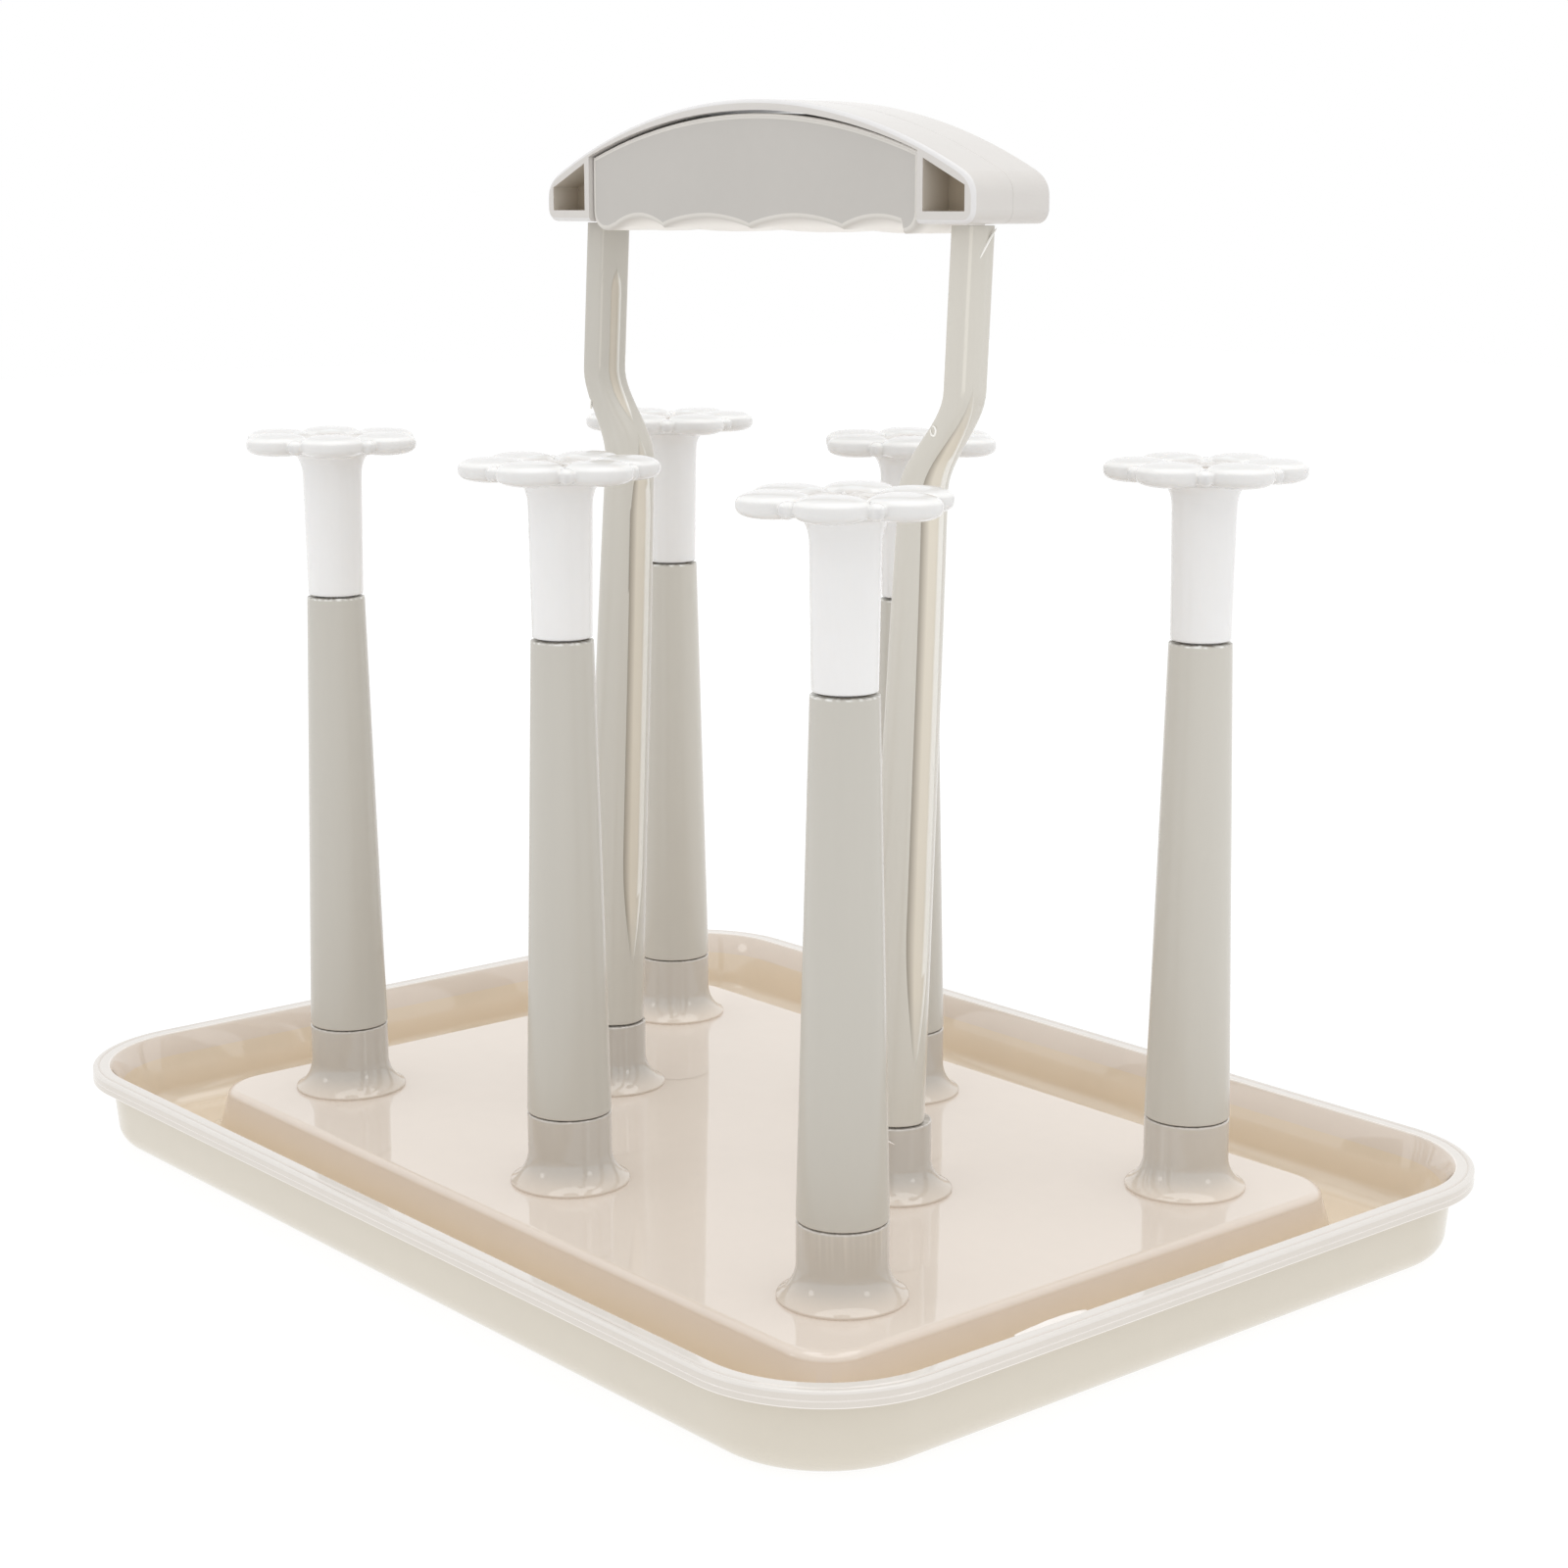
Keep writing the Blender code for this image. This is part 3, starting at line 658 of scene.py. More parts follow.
def pegTint(number):
    p = peg
    # the listed pegs are painted lighter, as painted light falling on them
    given = p["litPegGains"].get(number, 1.0)

    def choose(face, place):
        out = place.xy - pegPlaces[number]
        if place.z > pegHigh.z - p["topRound"] - 0.05 * mm:
            # painted shade on the peg's top inside its rim, in the gap under the cap's neck
            if out.length < p["topRadius"] - 0.5 * mm:
                return p["seatShadeTint"]
            # a ragged painted highlight on the torn top edge
            glint = noise.noise(Vector((out.x, out.y, number * mm)) * 1100.0)
            return blendOf(untinted, p["burrHighlightTint"], min(max(0.3 + 1.6 * glint, 0.0), 1.0))
        # painted highlight on the peg's rounded foot
        if place.z < pegLow.z + p["footRound"]:
            return p["paintedFootTint"]
        return given, given, given
    return choose


for number in pegNumbers:
    shape = bmesh.new()
    rings = turnedRings(pegProfile(), peg["count"], pegPlaces[number], pegBurr(number))
    loftInto(shape, rings, looped=True)
    piece = addPiece(f"tapered_peg_{number}", meshFrom(f"tapered_peg_{number}", shape), stonePegs)
    tintFaces(piece.data, pegTint(number))
    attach(piece, f"peg_{number}")
    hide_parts(f"peg_{number}")
print("six pegs made")


# flower caps: six pillow petals, beads between them, a dished middle and a long neck
cap = {
    "petals": 6, "petalRadius": 7.2 * mm, "petalReach": 21.2 * mm, "petalThick": 5.2 * mm,
    "fullness": 2.7,
    "beadRadius": 1.75 * mm, "beadReach": 16.4 * mm, "beadDrop": 0.25 * mm,
    "webRadius": 13.0 * mm, "webThick": 3.0 * mm, "webUnder": 1.8 * mm, "webEdge": 0.6 * mm,
    "dishDrop": 0.7 * mm, "eyeDrop": 0.9 * mm, "dishStart": 3.0 * mm, "dishEnd": 7.0 * mm,
    "hub": 0.5 * mm, "foldReach": 4.4 * mm, "shortFold": 0.8,
    "eyeRadius": 2.1 * mm, "ribs": 12, "ribRadius": 0.6 * mm, "ribReach": 3.9 * mm,
    "neckLow": 6.4 * mm, "neckHigh": 6.8 * mm, "neckFlare": 3.2 * mm, "neckRise": 5.6 * mm,
    "plugRadius": 4.4 * mm, "plugDepth": 12.0 * mm, "leadIn": 0.8 * mm,
    "neckEdge": 0.3 * mm, "neckTuck": 0.2 * mm, "voxel": 0.26 * mm, "smoothing": 4,
    # painted light and shade: shade in the dish and between petals, a lighter neck, highlights on the
    # petals' upper edges
    "foldShadeTint": (0.88, 0.84, 0.81), "neckLightTint": (1.10, 1.10, 1.11), "rimLightTint": (1.12, 1.125, 1.13),
    "petalTint": (0.97, 0.97, 0.975), "seamShadeTint": (0.87, 0.87, 0.88),
}


def addPillow(shape, centre, radius, thick, fullness, turn=0.0):
    # a ball pressed into a fat pillow: flat in the middle, fully round at its edge
    made = bmesh.ops.create_uvsphere(shape, u_segments=64, v_segments=32, radius=1.0)
    for vert in made["verts"]:
        flat = math.hypot(vert.co.x, vert.co.y)
        push = (flat ** fullness + abs(vert.co.z) ** fullness) ** (-1 / fullness)
        vert.co = Vector((vert.co.x * push * radius[0], vert.co.y * push * radius[1],
                          vert.co.z * push * thick / 2))
        vert.co.rotate(Euler((0.0, 0.0, turn)))
        vert.co += Vector(centre)


def addBall(shape, centre, radius):
    ball = bmesh.ops.create_uvsphere(shape, u_segments=32, v_segments=16, radius=radius)
    bmesh.ops.translate(shape, verts=ball["verts"], vec=centre)


def neckProfile(under, seat):
    # from inside the flower down its neck and plug
    c = cap
    profile = [(0.5 * mm, under + 1.2 * mm), (c["neckHigh"] + c["neckFlare"], under + 1.2 * mm)]
    for i in range(9):
        swing = math.radians(90 * i / 8)
        profile.append((c["neckHigh"] + c["neckFlare"] * (1 - math.sin(swing)),
                        under + 0.5 * mm - c["neckRise"] * (1 - math.cos(swing))))
    profile += [(c["neckLow"], seat + c["neckEdge"]), (c["neckLow"] - c["neckTuck"], seat + 0.1 * mm),
                (c["plugRadius"], seat), (c["plugRadius"], seat - c["plugDepth"] + c["leadIn"]),
                (c["plugRadius"] - c["leadIn"], seat - c["plugDepth"]), (0.5 * mm, seat - c["plugDepth"])]
    return profile


def flowerMesh():
    c = cap
    middle = capHigh.z - c["petalThick"] / 2
    under = middle - c["petalThick"] / 2
    shape = bmesh.new()
    for i in range(c["petals"]):
        angle = math.tau * i / c["petals"]
        valley = angle + math.pi / c["petals"]
        reach = c["petalReach"] - c["petalRadius"]
        addPillow(shape, (reach * math.cos(angle), reach * math.sin(angle), middle),
                  (c["petalRadius"], c["petalRadius"]), c["petalThick"], c["fullness"], angle)
        addBall(shape, (c["beadReach"] * math.cos(valley), c["beadReach"] * math.sin(valley),
                        middle - c["beadDrop"]), c["beadRadius"])
    webTop = middle + c["webThick"] / 2 - 0.5 * mm
    webLow = middle - c["webUnder"]
    web = [(c["hub"], webTop - c["eyeDrop"]), (c["dishStart"], webTop - c["dishDrop"]),
           (c["dishEnd"], webTop), (c["webRadius"], webTop),
           (c["webRadius"] + c["webEdge"], middle), (c["webRadius"], webLow), (c["hub"], webLow)]
    loftInto(shape, turnedRings(web, 72))
    # raised folds that run from the eye out to the petals
    for i in range(c["ribs"]):
        angle = math.tau * (i + 0.5) / c["ribs"]
        long = c["ribReach"] * (1.0 if i % 2 else c["shortFold"])
        spot = (c["foldReach"] * math.cos(angle), c["foldReach"] * math.sin(angle), webTop - 0.15 * mm)
        addPillow(shape, spot, (long, c["ribRadius"] * 1.1), 2.4 * c["ribRadius"], 2.0, angle)
    addBall(shape, (0.0, 0.0, webTop - c["dishDrop"]), c["eyeRadius"] / 2)
    loftInto(shape, turnedRings(neckProfile(under, pegHigh.z + gap), 96))
    rough = helperPiece("flower_rough", shape)
    fuse = rough.modifiers.new("fuse", "REMESH")
    fuse.mode = "VOXEL"
    fuse.voxel_size = c["voxel"]
    relax = rough.modifiers.new("relax", "SMOOTH")
    relax.factor = 0.5
    relax.iterations = c["smoothing"]
    settle(rough)
    mesh = rough.data
    bpy.data.objects.remove(rough, do_unlink=True)
    mesh.name = "flower_cap"
    mesh.materials.clear()

    def capTint(face, place):
        out = math.hypot(place.x, place.y)
        # painted shade in the dished middle, lightening out onto the folds and upwards
        if place.z > under and out < 9 * mm and face.normal.z > 0.0:
            fold = smoothStep((out - 6 * mm) / (3 * mm))
            return blendOf(c["foldShadeTint"], untinted, max(fold, (place.z - webTop) / c["dishDrop"]))
        # the neck is painted lighter, as painted light under the flower
        if place.z < under - 0.3 * mm:
            return c["neckLightTint"]
        petal = c["petalTint"]
        # painted shade in the creases between neighbouring petals
        if out > 12 * mm:
            turn = math.atan2(place.y, place.x) * c["petals"] / math.tau - 0.5
            fromSeam = abs(turn - round(turn)) * math.tau / c["petals"] * out
            bead = abs(out - c["beadReach"]) < c["beadRadius"] * 0.7
            if not bead:
                petal = blendOf(c["seamShadeTint"], petal, smoothStep(fromSeam / (1.3 * mm)))
        # painted highlight along the petals' upper edges
        if place.z > middle + 0.25 * mm:
            edge = smoothStep((face.normal.z - 0.25) / 0.35) * smoothStep((0.98 - face.normal.z) / 0.2)
            return blendOf(petal, c["rimLightTint"], edge)
        return petal

    tintFaces(mesh, capTint)
    return mesh


def capTurn(node, place):
    # the furthest point of a CAD cap from its axis is the tip of a petal
    tip = max((v.co.xy - place for v in frame["nodes"][node].data.vertices), key=lambda p: p.length)
    return math.atan2(tip.y, tip.x)


flower = flowerMesh()
for number in pegNumbers:
    node = f"flower_cap_{number}"
    piece = addPiece(f"petal_cap_{number}", flower, milkyCaps, 60.0, even=False)
    piece.location = (*pegPlaces[number], 0.0)
    piece.rotation_euler.z = capTurn(node, pegPlaces[number])
    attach(piece, f"cap_{number}")
    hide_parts(node)
print("six flower caps made:", len(flower.polygons), "faces each")


# handle posts: round at the foot, squarer upwards, with a bend and moulded channels
post = {
    "footX": 50.6 * mm, "topX": 61.5 * mm, "footWidth": 15.2 * mm, "neckWidth": 10.2 * mm,
    "topWidth": 7.0 * mm, "topDepth": 8.6 * mm, "squaring": 0.35, "barSquaring": 0.62,
    "backCut": 0.15, "frontCut": 0.05,
    "bendLow": 164.0 * mm, "bendHigh": 185.0 * mm, "lean": 3.0, "rowStep": 1.5 * mm, "footRound": 0.4 * mm,
    "wideChannel": {"low": 41 * mm, "high": 186 * mm, "half": 2.65 * mm,
                    "centre": -1.5 * mm, "depth": 1.6 * mm},
    "elbowPocket": {"low": 172 * mm, "high": 208 * mm, "half": 1.3 * mm,
                    "centre": 0.2 * mm, "depth": 1.6 * mm},
    "innerChannel": {"low": 43 * mm, "high": 170 * mm, "half": 2.7 * mm,
                     "centre": -0.1 * mm, "depth": 1.7 * mm},
    "channelEase": (0.22, 0.16), "darkShare": 3.0, "lineShare": 0.95,
    "barEdge": 0.80, "barEdgeHighlightGain": 1.15, "flankSteps": 14,
    "gateMarks": ((-1, 176.5 * mm, -3.3 * mm), (1, 177.0 * mm, -0.8 * mm), (1, 90.5 * mm, -3.4 * mm)),
    "gateRadius": 1.0 * mm, "gateThread": 0.24 * mm, "gateSweep": (-200, 320),
    "gateRagged": 0.25, "gateSquash": 0.8, "socketSpare": 1.5 * mm, "socketCount": 48,
    # painted light and shade: shade in the channels, highlight lines, and the two posts painted as lit
    # differently
    "channelShadeTint": (0.46, 0.42, 0.38), "channelLitTint": (1.26, 1.22, 1.16), "highlightLineTint": (1.65, 1.70, 1.80),
    "upperLightTint": {-1: 0.90, 1: 1.08}, "lowerLightTint": {-1: 1.0, 1: 1.07},
    "ridgeRun": (3.2 * mm, -1.4 * mm), "ridgeRise": (0.5 * mm, 6.6 * mm), "ridgeRadius": 0.30 * mm,
}
lean = math.tan(math.radians(post["lean"]))


def leanAt(height):
    return (height - jointHeight) * lean


def channelShare(channel, height):
    # 0 past the channel's pointed ends, 1 over most of its length
    run = (height - channel["low"]) / (channel["high"] - channel["low"])
    if run <= 0 or run >= 1:
        return 0.0
    easeIn, easeOut = post["channelEase"]
    return math.sin(min(run / easeIn, 1.0) * quarter) * math.sin(min((1 - run) / easeOut, 1.0) * quarter)


def postShape(height, side):
    # half widths, section power and centre of a post at a height
    p = post
    rise = min(max((height - jointHeight) / (p["bendLow"] - jointHeight), 0.0), 1.0)
    size = p["neckWidth"] + (p["footWidth"] - p["neckWidth"]) * (1 - rise)
    bend = smoothStep((height - p["bendLow"]) / (p["bendHigh"] - p["bendLow"]))
    squaring = p["squaring"] * smoothStep(rise) + (p["barSquaring"] - p["squaring"]) * bend
    return ((size + (p["topWidth"] - size) * bend) / 2, (size + (p["topDepth"] - size) * bend) / 2,
            2 / (1 - squaring), side * (p["footX"] + (p["topX"] - p["footX"]) * bend), leanAt(height))


def squaredReach(half, offset, otherHalf, power):
    # how far a rounded square section reaches, at an offset from its middle
    return half * max(1 - abs(offset / otherHalf) ** power, 0.0) ** (1 / power)


def channelAt(height, outer):
    # the deepest channel of a post's outer or inner face at a height
    channels = [post["wideChannel"]] if outer else [post["elbowPocket"], post["innerChannel"]]
    best = max(channels, key=lambda item: channelShare(item, height))
    share = channelShare(best, height)
    return max(best["half"] * share, 0.05 * mm), best["depth"] * share, best["centre"]


def postSection(height, side):
    p = post
    halfX, halfY, power, centreX, centreY = postShape(height, side)

    def face(outward):
        half, depth, middle = channelAt(height, outward == side)
        soft = min(0.22 * mm, half / 3)
        near, far = middle - half, middle + half
        marks = [(near - soft, 0.0), (near - 0.3 * soft, 0.12 * depth), (near, 0.35 * depth),
                 (near + 0.4 * soft, 0.9 * depth), (near + soft, depth), (middle, 0.94 * depth),
                 (far - 2.4 * soft, 0.8 * depth), (far - soft, 0.55 * depth), (far, 0.2 * depth),
                 (far + 0.3 * soft, 0.08 * depth), (far + soft, 0.0)]
        first = math.asin(max(-1.0, (near - soft) / halfY))
        last = math.asin(min(1.0, (far + soft) / halfY))
        steps = p["flankSteps"]
        run = [(halfY * math.sin(-quarter + (first + quarter) * i / steps), 0.0) for i in range(steps)]
        run += marks
        run += [(halfY * math.sin(last + (quarter - last) * i / steps), 0.0) for i in range(1, steps)]
        points = []
        for y, sunk in run:
            across = squaredReach(halfX, y, halfY, power)
            # the section's outer back corner is cut back, and its inner front corner a little
            swing = 2 * across * y / (across * across + y * y + 1e-12)
            if outward == side:
                kept = 1 - p["backCut"] * max(0.0, swing) ** 1.5
            else:
                kept = 1 - p["frontCut"] * max(0.0, -swing) ** 1.5
            points.append((centreX + outward * (across * kept - sunk), centreY + y * kept, height))
        return points

    top = [(centreX, centreY + halfY, height)]
    return face(1) + top + list(reversed(face(-1)))[:-1]


def postTint(side):
    def choose(face, place):
        p = post
        halfX, halfY, power, centreX, centreY = postShape(place.z, side)
        outward = 1 if place.x > centreX else -1
        # painted light: the right post is painted lighter than the left, and the left post darker above the
        # bend
        upper = smoothStep((place.z - p["bendLow"]) / (p["bendHigh"] - p["bendLow"]))
        given = p["lowerLightTint"][side] + (p["upperLightTint"][side] - p["lowerLightTint"][side]) * upper
        plain = (given, given, given)
        half, depth, middle = channelAt(place.z, outward == side)
        y = place.y - centreY
        # painted shade deep on the channel's near side, lightening to painted light on its far side
        if depth > 0.15 * mm and abs(y - middle) < half + 0.1 * mm:
            run = (y - middle + half) / (2 * half)
            strength = min(depth / (1.2 * mm), 1.0)
            # a painted highlight line along the channel's far edge
            if run > p["lineShare"]:
                return blendOf(plain, p["highlightLineTint"], strength)
            shade = blendOf(p["channelShadeTint"], p["channelLitTint"], smoothStep(run * p["darkShare"]))
            return blendOf(plain, shade, strength)
        # painted highlight on the upper bar's rounded corners
        corner = min(abs(place.x - centreX) / halfX, abs(y) / halfY)
        onEdge = place.z > p["bendHigh"] and corner > p["barEdge"]
        return scaledBy(plain, p["barEdgeHighlightGain"]) if onEdge else plain
    return choose


def makePost(name, side, node):
    p = post
    low, high = postLow.z, coverLow.z - gap
    count = int((high - low) / p["rowStep"])
    start = low + p["footRound"]
    heights = [start + (high - start) * i / count for i in range(count + 1)]
    rings = [postSection(height, side) for height in heights]
    centre = Vector((side * p["footX"], 0.0))
    feet = []
    for share in (1.0, 0.5, 0.2):
        ring = []
        for x, y, height in rings[0]:
            spot = Vector((x, y)) - centre
            spot = spot * (1 - share * p["footRound"] * 1.2 / spot.length) + centre
            ring.append((spot.x, spot.y, low + p["footRound"] * (1 - share) ** 1.5))
        feet.append(ring)
    shape = bmesh.new()
    loftInto(shape, feet + rings)
    bmesh.ops.remove_doubles(shape, verts=shape.verts, dist=0.002 * mm)
    piece = addPiece(name, meshFrom(name, shape), stonePosts, 50.0, even=False)
    socket = bmesh.new()
    reach = tray["postSpigot"] + gap
    roof = jointHeight + tray["spigotHeight"] + p["socketSpare"]
    loftInto(socket, turnedRings([(reach, low - 1.0 * mm), (reach, roof)], p["socketCount"], centre))
    carve(piece, [helperPiece(name + "_socket", socket)], "DIFFERENCE")
    smoothOver(piece, 50.0)
    tintFaces(piece.data, postTint(side))
    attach(piece, "handle")
    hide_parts(node)
    return piece


def makeGateMark(number, side, height, offset):
    # torn ring left where the plastic entered the mould
    p = post
    halfX, halfY, power, centreX, centreY = postShape(height, side)
    across = squaredReach(halfY, offset, halfX, power)
    turn = -0.9 * offset / halfX if abs(offset) > 0.5 * halfX else 0.0    # follows the rounding
    middle = Vector((centreX + offset, centreY - across, height))
    points = []
    start, sweep = p["gateSweep"]
    for i in range(29):
        angle = math.radians(start + sweep * i / 28)
        around = Vector((math.cos(angle), math.sin(angle), number))
        reach = p["gateRadius"] * (1 + p["gateRagged"] * noise.noise(around * 2.0))
        spot = Vector((reach * math.cos(angle) * p["gateSquash"], -0.05 * mm, reach * math.sin(angle)))
        spot.rotate(Euler((0.0, 0.0, -turn)))
        points.append(middle + spot)
    # the gate mark is painted with the painted highlight line tint
    piece = addThread(f"gate_mark_{number}", points, p["gateThread"], stonePosts, p["highlightLineTint"])
    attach(piece, "handle")


def makeRidge(name, side):
    # raised weld line that runs down a post's outer face from the cover
    p = post
    points = []
    for i in range(13):
        share = i / 12
        height = coverLow.z - gap - (p["ridgeRise"][0] + (p["ridgeRise"][1] - p["ridgeRise"][0]) * share)
        halfX, halfY, power, centreX, centreY = postShape(height, side)
        y = p["ridgeRun"][0] + (p["ridgeRun"][1] - p["ridgeRun"][0]) * share ** 0.8
        across = squaredReach(halfX, y, halfY, power)
        points.append(Vector((centreX + side * (across - 0.05 * mm), centreY + y, height)))
    # the weld ridge is painted with the painted highlight line tint
    piece = addThread(name, points, p["ridgeRadius"], stonePosts, p["highlightLineTint"])
    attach(piece, "handle")


makePost("curved_post_left", -1, "handle_post_left")
makePost("curved_post_right", 1, "handle_post_right")
for number, (side, height, offset) in enumerate(post["gateMarks"], 1):
    makeGateMark(number, side, height, offset)
makeRidge("post_ridge_left", -1)
makeRidge("post_ridge_right", 1)
print("posts made")


# grip: core with finger scoops, cover with two blind windows at each face
core = {
    "half": 55.0 * mm, "endTop": 233.0 * mm, "peak": 241.8 * mm, "corner": 4.5 * mm,
    "recess": 0.9 * mm, "edge": 0.8 * mm, "cusps": (-46.5, -29.0, 1.3, 31.6, 53.5),
    "scoopRise": 2.2 * mm, "bulge": 0.7 * mm, "scoopReach": 7.5 * mm, "columns": 150, "rows": 28,
    # painted light: a highlight line round each face, highlights on the rounded edges, and lighter scoop
    # undersides
    "lineWidth": 0.35 * mm, "highlightLineTint": (1.30, 1.30, 1.29),
    "edgeHighlightTint": (1.75, 1.76, 1.78), "scoopLightTint": (1.22, 1.22, 1.22), "deepScoopLightTint": (1.85, 1.88, 1.92),
}
cover = {
    "half": 71.8 * mm, "endTop": 227.6 * mm, "peak": 244.7 * mm, "corner": 3.0 * mm,
    "edge": 1.1 * mm, "partingDepth": 0.12 * mm, "partingHalf": 0.16 * mm,
    "windowInner": 57.0 * mm, "windowOuter": 69.2 * mm, "windowFloor": 221.2 * mm,
    "windowInnerTop": 231.8 * mm, "windowOuterTop": 226.4 * mm, "windowDepth": 7.0 * mm,
    "windowDraft": 0.3 * mm, "smallEdge": 0.3 * mm,
    "endRound": 4.0 * mm, "edgeHighlightTint": (1.14, 1.17, 1.22),
    # painted shade inside the windows
    "mouthShadeTint": (0.93, 0.89, 0.82), "deepShadeTint": (0.74, 0.67, 0.56), "backShadeTint": (0.62, 0.54, 0.43),
}


def archPoints(half, endHeight, peak, steps):
    rise = peak - endHeight
    radius = (half * half + rise * rise) / (2 * rise)
    reach = math.degrees(math.asin(half / radius))
    return arcPoints((0.0, peak - radius), radius, 90 - reach, 90 + reach, steps)


def scoopShare(x):
    # 1 in the middle of a finger scoop, 0 on the ridges between two
    for start, end in zip(core["cusps"], core["cusps"][1:]):
        if start * mm < x < end * mm:
            return math.sin(math.pi * (x / mm - start) / (end - start)) ** 0.8
    return 0.0


def coreOutline(inset, depthShare):
    # depthShare is 0 under the middle of the grip and 1 at its faces
    c = core
    half = c["half"] - inset
    bottom = coreLow.z + inset
    points = archPoints(half, c["endTop"] - inset * 0.6, c["peak"] - inset, 48)
    corner = c["corner"] - inset
    points += arcPoints((-half + corner, bottom + corner), corner, 180, 270, 8)
    span = 2 * (half - corner)
    for i in range(1, c["columns"]):
        x = -half + corner + span * i / c["columns"]
        share = scoopShare(x)
        fadeIn = smoothStep((x / mm - c["cusps"][0] + 3) / 3)
        fadeOut = smoothStep((c["cusps"][-1] + 3 - x / mm) / 3)
        ridge = c["bulge"] * (1 - share) * (fadeIn * fadeOut)
        points.append((x, bottom + ridge + (c["scoopRise"] + c["bulge"]) * share * depthShare))
    points += arcPoints((half - corner, bottom + corner), corner, 270, 360, 8)
    return points


def makeCore():
    c = core
    halfDepth = coverHalfDepth - c["recess"]
    swings = [math.radians(22.5 * i) for i in range(5)]
    rounding = [(c["edge"] * (1 - math.cos(swing)), c["edge"] * (1 - math.sin(swing)))
                for swing in swings]                  # (depth in from the face, inset)
    border = c["edge"] + c["lineWidth"]
    depths = [(-halfDepth, border)] + [(depth - halfDepth, inset) for depth, inset in rounding]
    reach = halfDepth - c["edge"]
    depths += [(-reach + 2 * reach * i / c["rows"], 0.0) for i in range(1, c["rows"])]
    depths += [(halfDepth - depth, inset) for depth, inset in reversed(rounding)] + [(halfDepth, border)]
    layers = []
    for depth, inset in depths:
        share = 1 - smoothStep((halfDepth - abs(depth)) / c["scoopReach"])
        layers.append([(x, gripMiddle + depth, z) for x, z in coreOutline(inset, share)])
    shape = bmesh.new()
    loftInto(shape, layers)
    piece = addPiece("scooped_grip_core", meshFrom("scooped_grip_core", shape), satinGrip, 50.0)

    def coreTint(face, place):
        # a painted highlight line round the border of each face of the core; the flat face keeps its own
        # colour
        if abs(face.normal.y) > 0.95:
            return c["highlightLineTint"] if len(face.vertices) == 4 else untinted
        # the scoops' downward faces are painted lighter, whitest deep under the grip, as painted light from
        # the floor below
        if face.center.z < coreLow.z + 6 * mm and face.normal.z < -0.2:
            depth = (halfDepth - abs(place.y - gripMiddle)) / (0.6 * c["scoopReach"])
            return blendOf(c["scoopLightTint"], c["deepScoopLightTint"], smoothStep(depth))
        # painted highlight on the core's rounded edges
        return c["edgeHighlightTint"] if abs(face.normal.y) > 0.2 else untinted

    tintFaces(piece.data, coreTint)
    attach(piece, "handle")
    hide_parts("grip_core")


def softenEnds(arch, half, radius):
    # the arch's two ends bend down into the upright ends instead of meeting them at a corner
    reach = half - radius
    kept = [point for point in arch if abs(point[0]) < reach]
    right, left = [], []
    start, end = kept[0], arch[0]
    slope = (kept[0][1] - kept[1][1]) / (kept[0][0] - kept[1][0])
    corner = (half, start[1] + slope * (half - start[0]))
    foot = (half, end[1] - 0.8 * radius)
    for i in range(1, 9):
        share = i / 8
        x, z = [(1 - share) ** 2 * first + 2 * share * (1 - share) * pull + share ** 2 * last
                for first, pull, last in zip(start, corner, foot)]
        right.insert(0, (x, z))
        left.append((-x, z))
    return right + kept + left


def coverOutline(inset):
    c = cover
    half = c["half"] - inset
    bottom = coverLow.z + inset
    arch = archPoints(half, c["endTop"] - 0.75 * inset, c["peak"] - inset, 96)
    points = softenEnds(arch, half, c["endRound"])
    corner = max(c["corner"] - inset, 0.3 * mm)
    points += arcPoints((-half + corner, bottom + corner), corner, 180, 270, 8)
    points += arcPoints((half - corner, bottom + corner), corner, 270, 360, 8)
    return points


def slabInto(shape, outlines):
    # outlines is a list of (y, [(x, z), ...])
    loftInto(shape, [[(x, y, z) for x, z in points] for y, points in outlines])


def windowCutter(side, face):
    c = cover
    middleX = side * (c["windowInner"] + c["windowOuter"]) / 2
    middleZ = (c["windowFloor"] + c["windowInnerTop"]) / 2
    mouth = [(side * c["windowInner"], c["windowFloor"]), (side * c["windowOuter"], c["windowFloor"]),
             (side * c["windowOuter"], c["windowOuterTop"]), (side * c["windowInner"], c["windowInnerTop"])]
    narrow = 1 - 2 * c["windowDraft"] / (c["windowOuter"] - c["windowInner"])
    rows = []
    for depth, share in ((-1.0 * mm, 1.0), (0.0, 1.0), (c["windowDepth"], narrow)):
        outline = [(middleX + (x - middleX) * share, middleZ + (z - middleZ) * share) for x, z in mouth]
        rows.append((gripMiddle + face * (coverHalfDepth - depth), outline))
    shape = bmesh.new()
    slabInto(shape, rows)
    return helperPiece(f"window_{side}_{face}", shape)


def coverTint(face, place):
    c = cover
    depth = coverHalfDepth - abs(face.center.y - gripMiddle)
    across = abs(face.center.x)
    floor = c["windowFloor"] - 0.05 * mm
    # painted shade inside the blind windows, darker deeper in, darkest on the back wall
    if c["windowInner"] - 0.05 * mm < across < c["windowOuter"] + 0.05 * mm and floor < face.center.z:
        under = c["windowInnerTop"] + 0.1 * mm - (across - c["windowInner"]) * (
            c["windowInnerTop"] - c["windowOuterTop"]) / (c["windowOuter"] - c["windowInner"])
        if depth > c["smallEdge"] and face.center.z < under:
            sunk = (coverHalfDepth - abs(place.y - gripMiddle)) / c["windowDepth"]
            if abs(face.normal.y) > 0.9:
                return c["backShadeTint"]
            return blendOf(c["mouthShadeTint"], c["deepShadeTint"], smoothStep(1.4 * sunk))
    # painted highlight on the cover's rounded edges by its faces
    if 0.2 < abs(face.normal.y) < 0.96 and depth < c["edge"]:
        return c["edgeHighlightTint"]
    return untinted


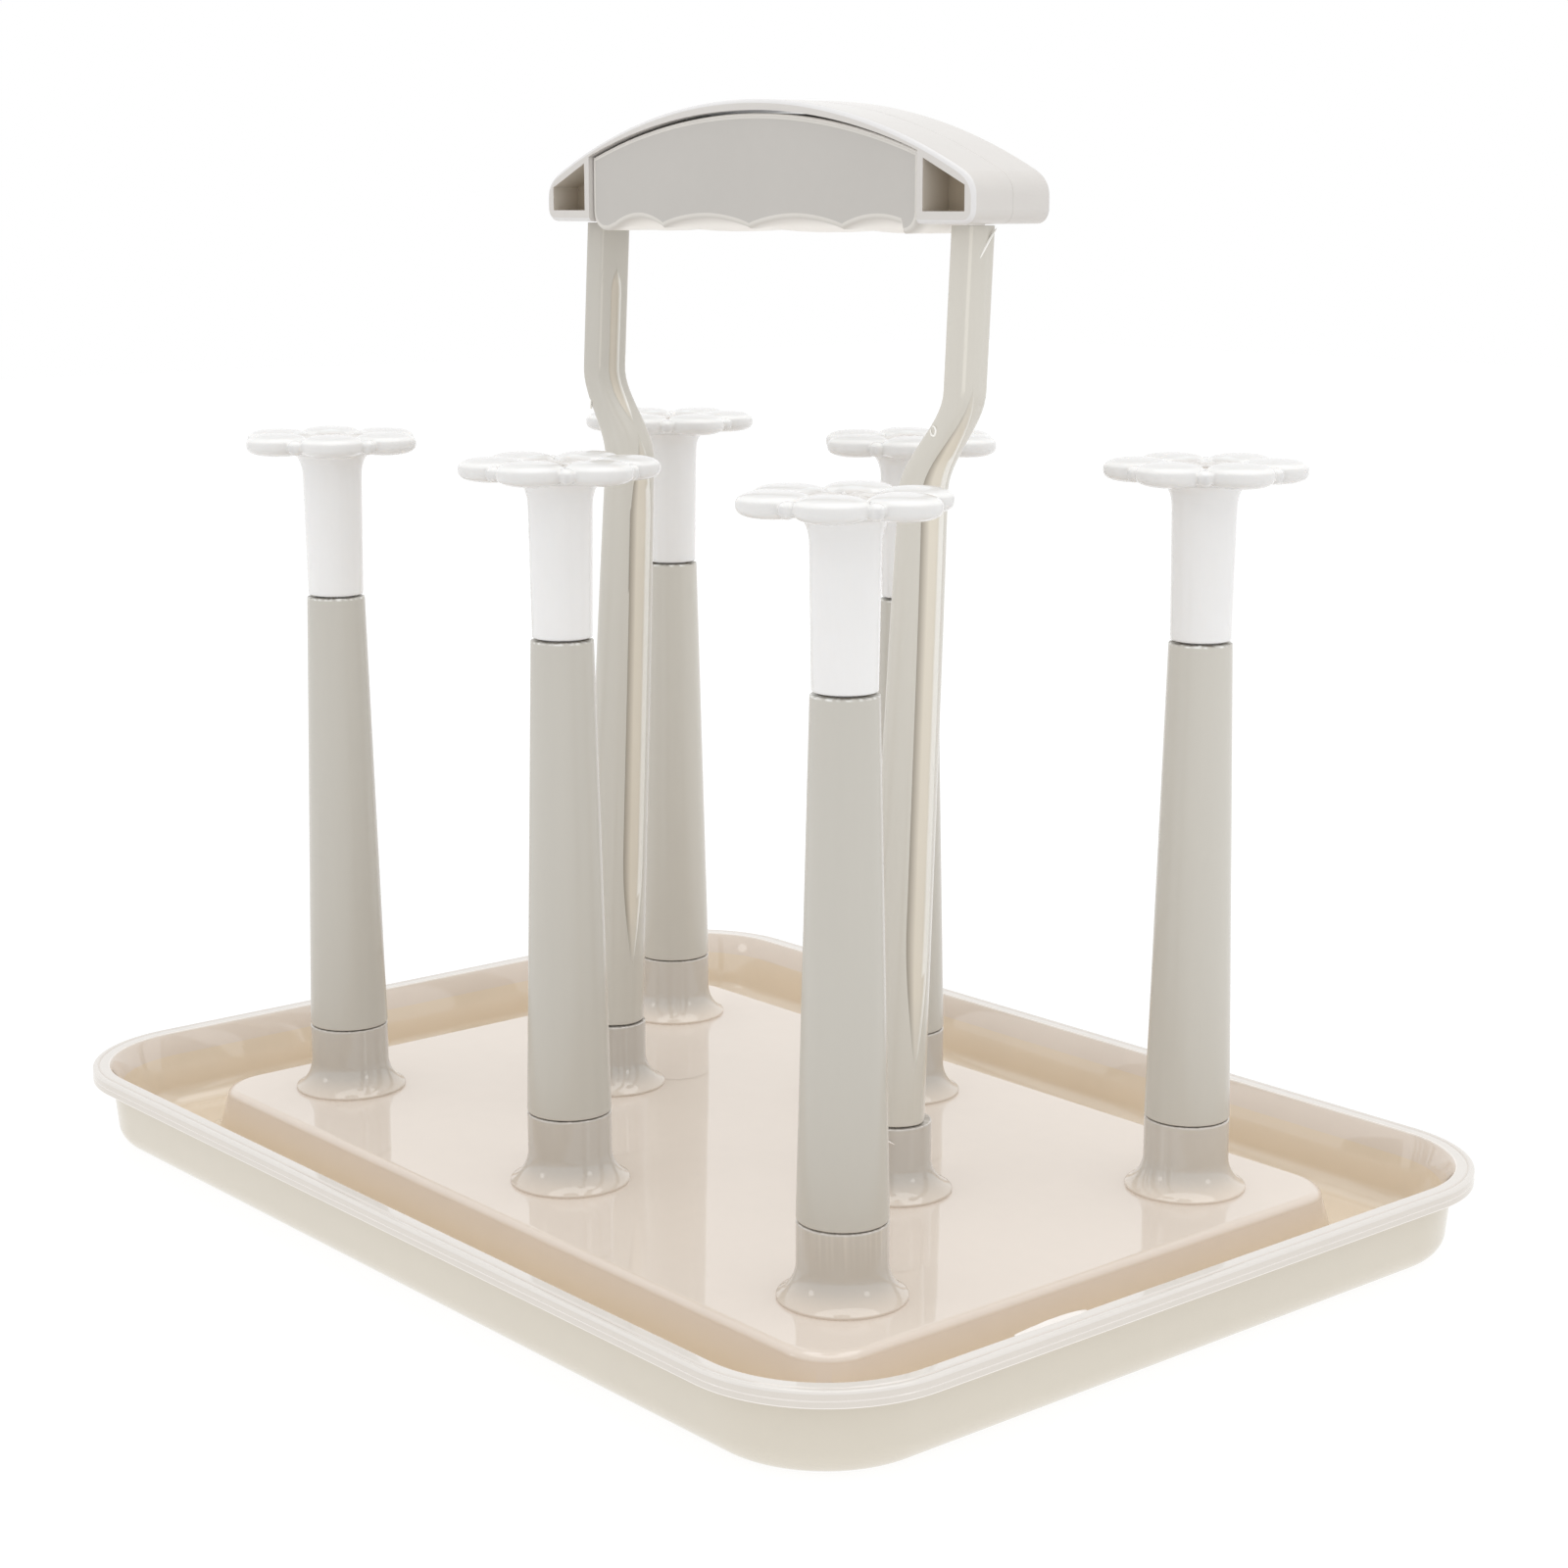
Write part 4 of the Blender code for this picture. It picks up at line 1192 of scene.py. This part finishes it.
def makeCover():
    c = cover
    stack = []
    for i in range(7):
        swing = math.radians(90 * i / 6)
        depth = c["edge"] * (1 - math.cos(swing))
        stack.append((-coverHalfDepth + depth, c["edge"] * (1 - math.sin(swing))))
    stack.append((-c["partingHalf"], 0.0))
    stack.append((0.0, c["partingDepth"]))
    stack += [(-depth, inset) for depth, inset in reversed(stack[:-1])]
    shape = bmesh.new()
    slabInto(shape, [(gripMiddle + depth, coverOutline(inset)) for depth, inset in stack])
    piece = addPiece("arched_grip_cover", meshFrom("arched_grip_cover", shape), stoneCover, even=False)
    below = coverLow.z - 5 * mm
    pocket = archPoints(core["half"] + gap, core["endTop"] + gap, core["peak"] + 2 * gap, 48)
    pocket += [(-core["half"] - gap, below), (core["half"] + gap, below)]
    shape = bmesh.new()
    slabInto(shape, [(gripMiddle - 2 * coverHalfDepth, pocket), (gripMiddle + 2 * coverHalfDepth, pocket)])
    cutters = [helperPiece("pocket", shape)]
    cutters += [windowCutter(side, face) for side in (-1, 1) for face in (-1, 1)]
    carve(piece, cutters, "DIFFERENCE")
    soft = piece.modifiers.new("soft_edges", "BEVEL")
    soft.width = c["smallEdge"]
    soft.segments = 3
    soft.limit_method = "ANGLE"
    soft.angle_limit = math.radians(38)
    settle(piece)
    smoothOver(piece, 38.0)
    tintFaces(piece.data, coverTint)
    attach(piece, "handle")
    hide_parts("grip_cover")


makeCore()
makeCover()
print("grip made")


# studio: white floor, soft light, camera
studio = {
    "floorSize": 6.0, "floorWhite": 0.2, "floorGlow": 0.85, "skyStrength": 1.0,
    "lights": {
        "topLight": {"place": (0.1, 0.1, 1.6), "aim": (0.0, 0.0, 0.0), "size": 1.6, "power": 6.0},
        "leftLight": {"place": (-0.55, -1.35, 0.62), "aim": (0.0, 0.0, 0.1), "size": 0.34, "power": 0.35},
        "rightLight": {"place": (1.45, 0.35, 0.62), "aim": (0.0, 0.0, 0.1), "size": 0.34, "power": 0.35}},
    "cameraPlace": (0.48617, -0.40195, 0.22268), "cameraTilt": 78.534, "cameraTurn": 49.613,
    "lens": 65.67,
}


def addSoftLight(name, light):
    data = bpy.data.lights.new(name, "AREA")
    data.shape = "DISK"
    data.size = light["size"]
    data.energy = light["power"]
    lamp = newObject(name, data)
    lamp.location = light["place"]
    lamp.rotation_euler = (Vector(light["aim"]) - lamp.location).to_track_quat("-Z", "Y").to_euler()


def makeFloor():
    s = studio
    shape = bmesh.new()
    bmesh.ops.create_grid(shape, x_segments=8, y_segments=8, size=s["floorSize"] / 2)
    bmesh.ops.translate(shape, verts=shape.verts, vec=(0.0, 0.0, cadLow.z - 0.2 * mm))
    floor = newObject("studio_floor", meshFrom("studio_floor", shape))
    white = bpy.data.materials.new("studio_white")
    white.use_nodes = True
    shader = white.node_tree.nodes["Principled BSDF"]
    shader.inputs["Roughness"].default_value = 0.9
    shader.inputs["Specular IOR Level"].default_value = 0.0
    shader.inputs["Base Color"].default_value = (s["floorWhite"], s["floorWhite"], s["floorWhite"], 1.0)
    shader.inputs["Emission Color"].default_value = (1.0, 1.0, 1.0, 1.0)
    shader.inputs["Emission Strength"].default_value = s["floorGlow"]
    floor.data.materials.append(white)


def makeStudio():
    s = studio
    makeFloor()
    world = bpy.data.worlds.new("white_room")
    world.use_nodes = True
    sky = world.node_tree.nodes["Background"]
    sky.inputs["Color"].default_value = (1.0, 1.0, 1.0, 1.0)
    sky.inputs["Strength"].default_value = s["skyStrength"]
    bpy.context.scene.world = world
    for name, light in s["lights"].items():
        addSoftLight(name, light)
    data = bpy.data.cameras.new("product_camera")
    data.lens = s["lens"]
    data.sensor_width = 36.0
    data.clip_start = 0.01
    camera = newObject("product_camera", data)
    camera.location = s["cameraPlace"]
    camera.rotation_euler = (math.radians(s["cameraTilt"]), 0.0, math.radians(s["cameraTurn"]))
    bpy.context.scene.camera = camera
    bpy.context.scene.view_settings.view_transform = "Standard"


makeStudio()
print("studio made")
